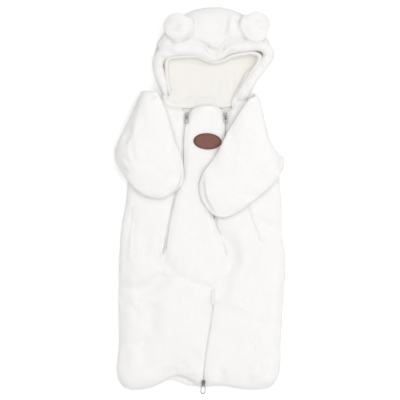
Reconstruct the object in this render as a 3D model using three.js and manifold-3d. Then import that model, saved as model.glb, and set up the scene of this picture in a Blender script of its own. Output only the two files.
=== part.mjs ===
// A baby's hooded pram suit in thick white plush, laid out flat on its back.
// Millimetres. X runs across the suit, Y from hem to hood, Z up from the surface it lies on.

import * as THREE from 'three';
import { mergeVertices } from 'three/addons/utils/BufferGeometryUtils.js';
import Module from 'manifold-3d';

const wasm = await Module();
wasm.setup();

// Cloth layers, from the surface up.
const BACK_THICK = 13;
const LAYER_GAP = 0.4;
const FRONT_BASE = BACK_THICK + LAYER_GAP;
const FRONT_THICK = 15.5;
const FRONT_CROWN = 4;
const SIDE_ROLL = 22;
const EDGE_MIN = 1.2;
const BACK_ROLL = 13;

// Seams and zips.
const SEAM_HALF = 0.65;
const ZIP_HALF = 2.4;
const CHAIN_HALF = 1.7;
const CHAIN_THICK = 2.4;
const ZIP_TOP_END = -122;
const CROTCH = [26, -178];
const LEFT_TURN = [-76, -125];
const RIGHT_TURN = [56, -127];
const ZIP_VALLEY = 4.5;
const SEAM_VALLEY = 3.2;

// Neck, sleeves and hood.
const NECK_ROLL = 9;
const NECK_LIFT = 3;
const SLEEVE_WALL = 8.5;
const SLEEVE_SLIT = 0.6;
const HOOD_BACK_THICK = 10.9;
const LINING_THICK = 3.2;
const LINING_TOP = HOOD_BACK_THICK + LAYER_GAP + LINING_THICK;
const CROWN_FOOT = LINING_TOP + LAYER_GAP;
const CROWN_TOP = 51;
const CROWN_WALL = 11;
const CROWN_ROLL = 38;
const EAR_THICK = 10;
const EAR_DIMPLE = 0.3;

// Trims.
const PATCH_LENGTH = 56.4;
const PATCH_HEIGHT = 33;
const PATCH_THICK = 1.5;
const SLIDER_LENGTH = 11;
const SLIDER_WIDTH = 8;
const SLIDER_THICK = 3;
const BRIDGE_HOLE = 1.3;
const BRIDGE_WALL = 1;
const BRIDGE_WIDTH = 3;
const PULL_THICK = 1.2;
const REST_GAP = 0.45;
const SLIDER_SEAT = 0.3;

const plush = new THREE.MeshStandardMaterial({ color: 0xf6f5f2, roughness: 0.95, metalness: 0 });
const plushShade = new THREE.MeshStandardMaterial({ color: 0xf1efec, roughness: 0.95, metalness: 0 });
const liningCloth = new THREE.MeshStandardMaterial({ color: 0xf7f4ec, roughness: 0.85, metalness: 0 });
const zipCloth = new THREE.MeshStandardMaterial({ color: 0xf0efec, roughness: 0.6, metalness: 0 });
const labelCloth = new THREE.MeshStandardMaterial({ color: 0xe9e7e2, roughness: 0.8, metalness: 0 });
const leather = new THREE.MeshStandardMaterial({ color: 0x87503f, roughness: 0.55, metalness: 0 });
const nickel = new THREE.MeshStandardMaterial({ color: 0xb9b6b2, roughness: 0.3, metalness: 1 });

const clamp01 = (t) => Math.min(1, Math.max(0, t));
const mix = (a, b, t) => a + (b - a) * t;
const ease = (t) => clamp01(t) ** 2 * (3 - 2 * clamp01(t));

// A quarter-round profile: 0 at the edge, 1 from the roll's radius inwards.
const quarter = (t) => Math.sqrt(1 - (1 - clamp01(t)) ** 2);

// A line in plan, kept as close points with their running length.
class Path {
  constructor(points) {
    this.points = points;
    this.lengths = [0];
    for (let i = 1; i < points.length; i++) {
      const step = Math.hypot(points[i][0] - points[i - 1][0], points[i][1] - points[i - 1][1]);
      this.lengths.push(this.lengths[i - 1] + step);
    }
    this.length = this.lengths.at(-1);
  }

  // A smooth line through a table of [x, y] rows.
  static through(rows, count = 400) {
    const curve = new THREE.CatmullRomCurve3(rows.map(([x, y]) => new THREE.Vector3(x, y, 0)));
    curve.arcLengthDivisions = 1200;
    return new Path(curve.getSpacedPoints(count).map((p) => [p.x, p.y]));
  }

  at(t) {
    const want = clamp01(t) * this.length;
    let lo = 0;
    let hi = this.lengths.length - 1;
    while (hi - lo > 1) {
      const mid = (lo + hi) >> 1;
      if (this.lengths[mid] <= want) lo = mid;
      else hi = mid;
    }
    const f = (want - this.lengths[lo]) / Math.max(1e-9, this.lengths[hi] - this.lengths[lo]);
    return [
      mix(this.points[lo][0], this.points[hi][0], f),
      mix(this.points[lo][1], this.points[hi][1], f),
    ];
  }

  // The unit direction of travel at t.
  along(t) {
    const a = this.at(t - 2 / this.length);
    const b = this.at(t + 2 / this.length);
    const size = Math.hypot(b[0] - a[0], b[1] - a[1]);
    return [(b[0] - a[0]) / size, (b[1] - a[1]) / size];
  }

  // Where along the line the point nearest to x, y lies, from 0 to 1.
  nearest(x, y) {
    let best = 0;
    let least = Infinity;
    this.points.forEach((p, i) => {
      const far = Math.hypot(p[0] - x, p[1] - y);
      if (far < least) {
        least = far;
        best = i;
      }
    });
    return this.lengths[best] / this.length;
  }

  distance(x, y) {
    let least = Infinity;
    for (let i = 1; i < this.points.length; i++) {
      const [ax, ay] = this.points[i - 1];
      const [bx, by] = this.points[i];
      const dx = bx - ax;
      const dy = by - ay;
      const f = clamp01(((x - ax) * dx + (y - ay) * dy) / Math.max(1e-9, dx * dx + dy * dy));
      least = Math.min(least, Math.hypot(ax + dx * f - x, ay + dy * f - y));
    }
    return least;
  }

  part(t0, t1, count = 200) {
    return new Path(Array.from({ length: count + 1 }, (_, i) => this.at(mix(t0, t1, i / count))));
  }

  // The same line moved to its right by a distance that may change along it.
  toRight(distanceAt) {
    return new Path(this.points.map(([x, y], i) => {
      const [dx, dy] = this.along(this.lengths[i] / this.length);
      const far = distanceAt(x, y, i);
      return [x + dy * far, y - dx * far];
    }));
  }

  thinned(step) {
    const count = Math.max(2, Math.round(this.length / step));
    return new Path(Array.from({ length: count + 1 }, (_, i) => this.at(i / count)));
  }
}

const joined = (...paths) => new Path(paths.flatMap((path, i) => (i ? path.points.slice(1) : path.points)));

// Plan outlines of the laid suit, each from the neck down: columns x, y.
const OUTLINE_LEFT = [
  [-110, 217], [-116, 201], [-122, 181], [-132, 141], [-140, 101], [-146, 61],
  [-147, 21], [-151, -15], [-158, -51], [-161, -87], [-163, -123], [-164, -177],
  [-164, -231], [-163, -267], [-164, -303], [-168, -331], [-167, -351], [-162, -366],
  [-151, -377], [-136, -381.5],
];
const OUTLINE_RIGHT = [
  [112, 217], [118, 201], [124, 181], [136, 141], [148, 101], [158, 61],
  [163, 21], [165, -15], [165, -51], [169, -87], [173, -119], [172, -151],
  [169, -187], [167, -231], [164, -267], [163, -303], [162, -331], [159, -351],
  [152, -367], [140, -377], [124, -380.5],
];
const HEM_BACK = [
  [-136, -381.5], [-104, -379], [-82, -371], [-62, -362], [-44, -366], [-24, -373],
  [6, -376.5], [36, -374], [60, -375.5], [92, -381], [124, -380.5],
];
const HEM_FRONT_LEFT = [
  [-136, -381.5], [-104, -379], [-82, -370.5], [-64, -359], [-47, -352], [-28, -357],
  [-10, -369], [4, -375],
];
const HEM_FRONT_RIGHT = [
  [8, -375.5], [34, -373], [60, -375.5], [92, -381], [124, -380.5],
];
const NECK_BACK = [
  [-110, 217], [-92, 207], [-78, 199], [-60, 193.5], [-30, 188.5], [10, 186.5],
  [50, 188.5], [72, 193], [92, 200], [102, 207], [112, 217],
];
const NECK_FRONT_LEFT = [
  [-110, 217], [-93, 205], [-79, 195], [-64, 188.5], [-48, 185.5], [-36, 182], [-27, 176],
];
const NECK_FRONT_CENTRE = [
  [-22, 177], [-8, 182.5], [12, 184.5], [34, 183], [48, 177],
];
const NECK_FRONT_RIGHT = [
  [53, 176.5], [62, 182], [74, 187], [84, 192], [94, 200], [103, 208], [112, 217],
];

// The two long zips and the seams below them meet at the crotch, above the short centre zip.
const LEFT_SEAM = [
  [-24, 177], [-31, 153], [-35, 121], [-35.5, 81], [-39, 51], [-46, 25],
  [-56, -15], [-64, -55], [-69, -90], [-74, -112], LEFT_TURN, [-68, -137],
  [-48, -149], [-20, -161], [4, -170], CROTCH, [26, -184], [26, -199],
  [24, -229], [18, -269], [12, -309], [8, -349], [6, -376],
];
const RIGHT_SEAM = [
  [50, 177], [53, 151], [52, 121], [46, 81], [38, 41], [33, 1],
  [30.5, -24], [32, -44], [38.5, -65], [48, -89], [54, -111], RIGHT_TURN,
  [52, -139], [45, -151], [37, -164], CROTCH, [26, -184], [26, -199],
  [24, -229], [18, -269], [12, -309], [8, -349], [6, -376],
];

const leftSeam = Path.through(LEFT_SEAM, 700);
const rightSeam = Path.through(RIGHT_SEAM, 700);
const leftCrotch = leftSeam.nearest(...CROTCH);
const rightCrotch = rightSeam.nearest(...CROTCH);
const leftTurn = leftSeam.nearest(...LEFT_TURN);
const rightTurn = rightSeam.nearest(...RIGHT_TURN);
const leftZip = leftSeam.part(0, leftTurn);
const rightZip = rightSeam.part(0, rightTurn);
const lowSeams = [leftSeam.part(leftTurn, leftCrotch), rightSeam.part(rightTurn, rightCrotch)];
const centreZip = leftSeam.part(leftCrotch, 1);

// Half the slot between two panels: open for a zip's chain, closed along a plain seam.
const slotHalf = (x, y) => {
  const upper = ease((y - ZIP_TOP_END) / 8 + 0.5);
  const lower = ease((CROTCH[1] - 4 - y) / 8 + 0.5);
  return mix(SEAM_HALF, ZIP_HALF, Math.max(upper, lower));
};

const outlineLeft = Path.through(OUTLINE_LEFT);
const outlineRight = Path.through(OUTLINE_RIGHT);
const reversed = (path) => new Path([...path.points].reverse());
const sideEdge = joined(
  outlineLeft,
  Path.through(HEM_FRONT_LEFT),
  Path.through(HEM_FRONT_RIGHT),
  reversed(outlineRight),
).thinned(4);
const neckEdge = joined(
  Path.through(NECK_FRONT_LEFT),
  Path.through(NECK_FRONT_CENTRE),
  Path.through(NECK_FRONT_RIGHT),
).thinned(3);

// The largest folds of the front: width is where each trough fades out, depth its bottom.
const FOLDS = [
  { name: 'below the left zip', width: 24, depth: 5,
    line: [[-74, -121], [-62, -137], [-82, -160], [-110, -175], [-140, -186], [-154, -200]] },
  { name: 'beside the crotch', width: 22, depth: 3.5,
    line: [[60, -118], [50, -142], [42, -166], [37, -191], [31, -214], [25, -240]] },
  { name: 'across the right leg', width: 16, depth: 2.5,
    line: [[36, -212], [70, -231], [120, -243], [166, -259]] },
  { name: 'along the left side', width: 12, depth: 3.2,
    line: [[-136, -21], [-134, -49], [-140, -80], [-141, -115], [-147, -143], [-151, -190], [-152, -339]] },
  { name: 'down the left leg', width: 30, depth: 3,
    line: [[-98, -196], [-102, -240], [-106, -292]] },
  { name: 'left side of the bag', width: 14, depth: 2.2,
    line: [[-146, -305], [-126, -293], [-108, -278]] },
  { name: 'into the notch', width: 15, depth: 4,
    line: [[-66, -349], [-42, -333], [-10, -310]] },
  { name: 'right side at the hip', width: 14, depth: 2.8,
    line: [[112, -40], [140, -50], [174, -64]] },
  { name: 'beside the right zip', width: 20, depth: 3.2,
    line: [[44, -68], [62, -96], [70, -124]] },
  { name: 'hem, right of the zip', width: 13, depth: 3,
    line: [[40, -374], [43, -350]] },
  { name: 'hem, right leg', width: 13, depth: 2.6,
    line: [[100, -380], [96, -350]] },
  { name: 'under the left cuff', width: 16, depth: 2.5,
    line: [[-150, 40], [-122, 8], [-96, -6], [-60, -6]] },
].map((fold) => ({ ...fold, path: Path.through(fold.line, 40) }));

const valley = (distance, width) => (distance < width ? (1 - (distance / width) ** 2) ** 2 : 0);

// Where the sliders and their pulls lie, the plush is pressed down a little.
const SEATS = [
  { x: -26, y: 166, radius: 15, depth: 4.5 },
  { x: 51, y: 167, radius: 15, depth: 4.5 },
  { x: 7, y: -366, radius: 13, depth: 2.5 },
];

// The front without its folds.
function frontSmooth(x, y) {
  const side = sideEdge.distance(x, y);
  const bulge = FRONT_CROWN * quarter(side / 120);
  return FRONT_BASE + EDGE_MIN + (FRONT_THICK + bulge - EDGE_MIN) * quarter(side / SIDE_ROLL);
}

// The front as it lies, with seam valleys, folds and the rolled neck edge.
function frontTop(x, y) {
  const smooth = frontSmooth(x, y);
  const long = Math.min(leftZip.distance(x, y), rightZip.distance(x, y));
  const plain = Math.min(lowSeams[0].distance(x, y), lowSeams[1].distance(x, y));
  let down = Math.max(
    ZIP_VALLEY * valley(long, 13),
    SEAM_VALLEY * valley(plain, 10),
    SEAM_VALLEY * valley(centreZip.distance(x, y), 11),
  );
  for (const fold of FOLDS) down += fold.depth * valley(fold.path.distance(x, y), fold.width);
  for (const seat of SEATS) {
    down += seat.depth * valley(Math.hypot(x - seat.x, y - seat.y), seat.radius);
  }
  const swell = 0.8 * Math.sin(x / 23 + 0.6) * Math.sin(y / 31 + 0.3);
  const fade = (smooth - FRONT_BASE) / FRONT_THICK;
  const neck = mix(0.4, 1, quarter(neckEdge.distance(x, y) / NECK_ROLL));
  const rise = (smooth - FRONT_BASE + (swell - down) * clamp01(fade)) * neck;
  return FRONT_BASE + Math.max(EDGE_MIN, rise);
}

// One closed surface from points and triangles, turned to face out.
function closedGeometry(points, faces) {
  let volume = 0;
  for (const [a, b, c] of faces) {
    const [p, q, r] = [points[a], points[b], points[c]];
    volume += p[0] * (q[1] * r[2] - q[2] * r[1]);
    volume -= p[1] * (q[0] * r[2] - q[2] * r[0]);
    volume += p[2] * (q[0] * r[1] - q[1] * r[0]);
  }
  const turned = volume < 0 ? faces.map(([a, b, c]) => [a, c, b]) : faces;
  const geometry = new THREE.BufferGeometry();
  geometry.setAttribute('position', new THREE.Float32BufferAttribute(points.flat(), 3));
  geometry.setIndex(turned.flat());
  geometry.computeVertexNormals();
  return geometry;
}

// Adds the quads between two rows of point numbers.
function strip(faces, a, b, closed = false) {
  const count = closed ? a.length : a.length - 1;
  for (let i = 0; i < count; i++) {
    const j = (i + 1) % a.length;
    faces.push([a[i], b[i], b[j]], [a[i], b[j], a[j]]);
  }
}

// The numbers of a grid's border, once round.
function border(ids) {
  const top = ids[0];
  const bottom = ids.at(-1);
  const right = ids.slice(1, -1).map((row) => row.at(-1));
  const left = ids.slice(1, -1).map((row) => row[0]).reverse();
  return [...top, ...right, ...[...bottom].reverse(), ...left];
}

// Fills a flat loop with triangles that run round it the loop's own way, or against it.
function flatFill(faces, points, loop, against = false) {
  const contour = loop.map((id) => new THREE.Vector2(points[id][0], points[id][1]));
  const turns = THREE.ShapeUtils.isClockWise(contour);
  for (const [a, b, c] of THREE.ShapeUtils.triangulateShape([...contour], [])) {
    const same = THREE.ShapeUtils.isClockWise([contour[a], contour[b], contour[c]]) === turns;
    faces.push(same === against ? [loop[a], loop[c], loop[b]] : [loop[a], loop[b], loop[c]]);
  }
}

// Fills a loop by a fan from its middle.
function fanFill(faces, points, loop, against = false) {
  const middle = points.push([0, 1, 2].map((k) => (
    loop.reduce((sum, id) => sum + points[id][k], 0) / loop.length
  ))) - 1;
  loop.forEach((id, i) => {
    const next = loop[(i + 1) % loop.length];
    faces.push(against ? [middle, next, id] : [middle, id, next]);
  });
}

// A panel: its upper grid, and below it a flat face at height flat, or a second grid.
function panelGeometry(upper, flat, lower) {
  const points = [];
  const faces = [];
  const take = (p) => points.push(p) - 1;
  const top = upper.map((row) => row.map(take));
  for (let i = 1; i < top.length; i++) strip(faces, top[i - 1], top[i]);
  const rim = border(top);
  if (lower) {
    const under = lower.map((row) => row.map(take));
    for (let i = 1; i < under.length; i++) strip(faces, under[i], under[i - 1]);
    strip(faces, border(under), rim, true);
  } else {
    const under = rim.map((id) => take([points[id][0], points[id][1], flat]));
    strip(faces, under, rim, true);
    flatFill(faces, points, under);
  }
  return closedGeometry(points, faces);
}

// Points spread over the area between four edges, each edge a function of 0 to 1.
function spread(edges, us, vs, heightAt) {
  const { top, bottom, left, right } = edges;
  const corners = [top.at(0), top.at(1), bottom.at(0), bottom.at(1)];
  return vs.map((v) => us.map((u) => {
    const [t, b, l, r] = [top.at(u), bottom.at(u), left.at(v), right.at(v)];
    const at = [0, 1].map((k) => {
      const blend = mix(mix(corners[0][k], corners[1][k], u), mix(corners[2][k], corners[3][k], u), v);
      return mix(t[k], b[k], v) + mix(l[k], r[k], u) - blend;
    });
    return [...at, heightAt(...at)];
  }));
}

// Stations from 0 to 1, closer together at either end: the sizes are in mm from the edge.
function stations(length, near, far, step) {
  const inner = Math.max(1, Math.round((length - near.at(-1) - far.at(-1)) / step));
  const even = Array.from({ length: inner - 1 }, (_, i) => (
    mix(near.at(-1), length - far.at(-1), (i + 1) / inner)
  ));
  return [...near, ...even, ...far.map((d) => length - d).reverse()].map((d) => d / length);
}

// The same stations with one exactly at each stop, and one 5 mm to either side of it.
function withStops(list, length, stops) {
  const wanted = stops.flatMap((t) => [t - 5 / length, t, t + 5 / length]);
  const kept = list.filter((t, i) => (
    i === 0 || i === list.length - 1 || wanted.every((w) => Math.abs(w - t) > 4 / length)
  ));
  return [...kept, ...wanted].sort((a, b) => a - b);
}

// A line through a table whose two ends are moved onto given points.
const between = (rows, start, end) => Path.through([start, ...rows.slice(1, -1), end]);

const group = new THREE.Group();
function add(name, geometry, material) {
  const mesh = new THREE.Mesh(geometry, material);
  mesh.name = name;
  group.add(mesh);
  return mesh;
}

const SIDE_STATIONS = [0, 1.5, 5, 10, 17];
const SEAM_STATIONS = [0, 3.5, 8, 14];
const HEM_STATIONS = [0, 1.5, 5, 10, 17];
const NECK_STATIONS = [0, 2, 5, 9];
const frontGrids = [];

// Front, left of the zips as seen.
{
  const right = leftSeam.toRight(slotHalf);
  const top = between(NECK_FRONT_LEFT, outlineLeft.at(0), right.at(0));
  const bottom = between(HEM_FRONT_LEFT, outlineLeft.at(1), right.at(1));
  const edges = { top, bottom, left: outlineLeft, right };
  const us = stations(108, SIDE_STATIONS, SEAM_STATIONS, 12);
  const turns = [LEFT_TURN, [-61, -142], CROTCH].map((p) => right.nearest(...p));
  const vs = withStops(stations(600, NECK_STATIONS, HEM_STATIONS, 14), 600, turns);
  const grid = spread(edges, us, vs, frontTop);
  frontGrids.push(grid);
  add('front_left', panelGeometry(grid, FRONT_BASE), plush);
}

// Front, right of the zips.
{
  const left = rightSeam.toRight((x, y) => -slotHalf(x, y));
  const top = between(NECK_FRONT_RIGHT, left.at(0), outlineRight.at(0));
  const bottom = between(HEM_FRONT_RIGHT, left.at(1), outlineRight.at(1));
  const edges = { top, bottom, left, right: outlineRight };
  const us = stations(120, SEAM_STATIONS, SIDE_STATIONS, 12);
  const turns = [left.nearest(...RIGHT_TURN), left.nearest(...CROTCH)];
  const vs = withStops(stations(585, NECK_STATIONS, HEM_STATIONS, 14), 585, turns);
  const grid = spread(edges, us, vs, frontTop);
  frontGrids.push(grid);
  add('front_right', panelGeometry(grid, FRONT_BASE), plush);
}

// The centre panel between the two long zips, a tongue that lifts a little at the neck.
{
  const left = leftSeam.part(0, leftTurn).toRight((x, y) => -slotHalf(x, y));
  const right = rightSeam.part(0, rightCrotch - 1.2 / rightSeam.length).toRight(slotHalf);
  const low = leftSeam.part(leftTurn, leftCrotch).toRight((x, y) => -slotHalf(x, y));
  const bottom = new Path([left.at(1), ...low.points.slice(6, -8), right.at(1)]);
  const top = between(NECK_FRONT_CENTRE, left.at(0), right.at(0));
  const edges = { top, bottom, left, right };
  const us = stations(86, SEAM_STATIONS, SEAM_STATIONS, 12);
  const turn = right.nearest(...RIGHT_TURN);
  const vs = withStops(stations(330, NECK_STATIONS, [0, 3, 8], 13), 330, [turn]);
  const grid = spread(edges, us, vs, frontTop);
  frontGrids.push(grid);
  const topEdge = top.thinned(4);
  const lifted = (x, y) => FRONT_BASE + NECK_LIFT * valley(topEdge.distance(x, y), 34);
  add('front_centre', panelGeometry(grid, 0, spread(edges, us, vs, lifted)), plush);
}

// A flat slab whose lower edge is rolled: the roll fades where softness is near 0.
function slabGeometry(loop, top, roll, softness) {
  const points = [];
  const faces = [];
  const count = loop.length;
  const rings = [0, 0.2, 0.45, 0.75, 1].map((k) => loop.map(([x, y], i) => {
    const a = loop[(i + count - 1) % count];
    const b = loop[(i + 1) % count];
    const size = Math.hypot(b[0] - a[0], b[1] - a[1]);
    const inset = roll * softness[i] * (1 - Math.sqrt(1 - k * k));
    const z = (top - 1.5) * (1 - k);
    return points.push([x - (b[1] - a[1]) / size * inset, y + (b[0] - a[0]) / size * inset, z]) - 1;
  }));
  const upper = loop.map(([x, y]) => points.push([x, y, top]) - 1);
  strip(faces, rings[0], upper, true);
  for (let i = 1; i < rings.length; i++) strip(faces, rings[i], rings[i - 1], true);
  flatFill(faces, points, rings.at(-1));
  flatFill(faces, points, upper, true);
  return closedGeometry(points, faces);
}

// A closed loop, once round anticlockwise, at about the given step.
const loopOf = (paths, step) => paths.flatMap((path) => path.thinned(step).points.slice(0, -1));

// How far the roll is full at each loop point: none beside the quiet line, full 45 mm away.
const softnessOf = (loop, quiet) => loop.map(([x, y]) => mix(0.2, 1, ease(quiet.distance(x, y) / 45)));

// The back: one layer under everything, from shoulders to hem.
{
  const neck = Path.through(NECK_BACK);
  const hem = Path.through(HEM_BACK);
  const loop = loopOf([outlineLeft, hem, reversed(outlineRight), reversed(neck)], 11);
  add('back_panel', slabGeometry(loop, BACK_THICK, BACK_ROLL, softnessOf(loop, neck)), plushShade);
}

// Plan outline of the hood, from the left of the neck over the top: columns x, y.
const HOOD_OUTLINE = [
  [-77, 201], [-80, 217], [-87, 237], [-92, 257], [-95, 277], [-94, 297],
  [-87, 314], [-76, 330], [-64, 347], [-48, 362], [-30, 373.5], [-10, 382],
  [14, 386.5], [40, 386.8], [64, 382], [86, 372], [106, 356], [122, 339],
  [136, 323], [146, 308], [150, 293], [145, 278], [132, 261], [117, 243],
  [107, 225], [100, 211], [92, 201.5],
];
const hoodOutline = Path.through(HOOD_OUTLINE, 600);

function hoodLoop(inset, step) {
  const side = hoodOutline.toRight(() => inset);
  const [start, end] = [side.at(0), side.at(1)];
  const neck = Path.through(NECK_BACK).toRight(() => -LAYER_GAP - 0.3);
  const t0 = neck.nearest(start[0], start[1] - 2);
  const t1 = neck.nearest(end[0], end[1] - 2);
  return { loop: loopOf([neck.part(t0, t1), reversed(side)], step), neck };
}
{
  const { loop, neck } = hoodLoop(1.5, 10);
  const geometry = slabGeometry(loop, HOOD_BACK_THICK, 10, softnessOf(loop, neck));
  add('hood_back', geometry, plushShade);
}
{
  const { loop } = hoodLoop(3, 10);
  const shape = new THREE.Shape(loop.map(([x, y]) => new THREE.Vector2(x, y)));
  const geometry = new THREE.ExtrudeGeometry(shape, { depth: LINING_THICK, bevelEnabled: false });
  geometry.translate(0, 0, LINING_TOP - LINING_THICK);
  add('hood_lining', geometry, liningCloth);
}

// The rolled brim round the face: columns x, y, z, half width, half height.
const BRIM = [
  [-69, 206, 21.2, 5, 6], [-70, 214, 23.2, 6.5, 8], [-72, 223, 25, 8.5, 9.5], [-75, 234, 26, 10.5, 11],
  [-79, 246, 26, 11.5, 11], [-83, 262, 27, 11.5, 11.5],
  [-83, 279, 29, 12, 12], [-74, 293, 33, 13, 13], [-56, 299, 37, 14, 14], [-34, 302, 38, 15, 14],
  [-14, 300, 36, 14, 13.5], [2, 291, 32, 12, 12], [16, 285, 30, 11, 12], [30, 290, 32, 12, 12],
  [46, 300, 36, 12.5, 13], [70, 305, 38, 13, 13.5], [94, 308, 38, 13, 13.5], [116, 309, 36, 12.5, 13],
  [132, 303, 32, 12, 12.5], [137.5, 290, 29, 12, 12], [129, 274, 27, 11.5, 11.5], [115, 257, 26, 11.5, 11],
  [104, 241, 26, 11.5, 11], [95, 227, 25.5, 12.5, 10.5], [87, 215, 24.6, 13.5, 9.5], [81, 206, 22.2, 13, 7],
];
const BRIM_STATIONS = 52;
const BRIM_SIDES = 16;

// A value of a table's column at t, smoothly between its rows.
function columnAt(rows, column, t) {
  const place = clamp01(t) * (rows.length - 1);
  const i = Math.min(rows.length - 2, Math.floor(place));
  const [p0, p1] = [rows[Math.max(0, i - 1)][column], rows[i][column]];
  const [p2, p3] = [rows[i + 1][column], rows[Math.min(rows.length - 1, i + 2)][column]];
  const f = place - i;
  const bend = (2 * p0 - 5 * p1 + 4 * p2 - p3) * f * f + (3 * p1 - p0 - 3 * p2 + p3) * f ** 3;
  return p1 + 0.5 * ((p2 - p0) * f + bend);
}

const brimAt = (t) => {
  const [x, y, z, half, tall] = [0, 1, 2, 3, 4].map((column) => columnAt(BRIM, column, t));
  const ahead = [0, 1].map((column) => columnAt(BRIM, column, t + 0.004));
  const behind = [0, 1].map((column) => columnAt(BRIM, column, t - 0.004));
  const size = Math.hypot(ahead[0] - behind[0], ahead[1] - behind[1]);
  const out = [-(ahead[1] - behind[1]) / size, (ahead[0] - behind[0]) / size];
  return { x, y, z, half, tall, out };
};

// Closed skin over a run of rings, with both ends filled.
function ringGeometry(rings) {
  const points = [];
  const faces = [];
  const ids = rings.map((ring) => ring.map((p) => points.push(p) - 1));
  for (let i = 1; i < ids.length; i++) strip(faces, ids[i - 1], ids[i], true);
  fanFill(faces, points, ids[0]);
  fanFill(faces, points, ids.at(-1), true);
  return closedGeometry(points, faces);
}
{
  const ring = (t, scale, slide) => {
    const { x, y, z, half, tall, out } = brimAt(t);
    return Array.from({ length: BRIM_SIDES }, (_, i) => {
      const a = (i / BRIM_SIDES) * 2 * Math.PI;
      const w = Math.cos(a) * half * scale;
      return [
        x + out[0] * w - out[1] * slide * -1,
        y + out[1] * w + out[0] * slide * -1,
        z + Math.sin(a) * tall * scale,
      ];
    });
  };
  const rings = [ring(0, 0.45, -7), ring(0, 0.8, -4.5)];
  for (let i = 0; i <= BRIM_STATIONS; i++) rings.push(ring(i / BRIM_STATIONS, 1, 0));
  rings.push(ring(1, 0.8, 4.5), ring(1, 0.45, 7));
  add('hood_brim', ringGeometry(rings), plush);
}

// Ears: columns x, y, z, radius, and the slope of the disc along x and y.
const EARS = [
  { name: 'ear_left', x: -46.4, y: 346, z: 55, radius: 28, slopeX: 0.1, slopeY: -0.08 },
  { name: 'ear_right', x: 114.4, y: 350.5, z: 51.4, radius: 27, slopeX: -0.14, slopeY: -0.06 },
];
const earPlane = (ear, x, y) => ear.z + ear.slopeX * (x - ear.x) + ear.slopeY * (y - ear.y);

const EAR_RINGS = [0.3, 0.58, 0.8, 0.93];
const EAR_SIDES = 24;
for (const ear of EARS) {
  const points = [];
  const faces = [];
  const bulge = (k, side) => {
    const dimple = side > 0 ? 1 - EAR_DIMPLE * Math.exp(-((k / 0.42) ** 2)) : 1;
    return side * EAR_THICK * Math.sqrt(1 - k * k) * dimple;
  };
  const ringOf = (k, side) => Array.from({ length: EAR_SIDES }, (_, i) => {
    const a = (i / EAR_SIDES) * 2 * Math.PI;
    const x = ear.x + Math.cos(a) * ear.radius * k;
    const y = ear.y + Math.sin(a) * ear.radius * k;
    return points.push([x, y, earPlane(ear, x, y) + bulge(k, side)]) - 1;
  });
  const rim = ringOf(1, 1);
  for (const side of [1, -1]) {
    const rings = [rim, ...[...EAR_RINGS].reverse().map((k) => ringOf(k, side))];
    const half = [];
    for (let i = 1; i < rings.length; i++) strip(half, rings[i - 1], rings[i], true);
    const middle = points.push([ear.x, ear.y, ear.z + bulge(0, side)]) - 1;
    rings.at(-1).forEach((id, i, ring) => half.push([id, middle, ring[(i + 1) % ring.length]]));
    faces.push(...(side > 0 ? half : half.map(([a, b, c]) => [a, c, b])));
  }
  add(ear.name, closedGeometry(points, faces), plushShade);
}

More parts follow.
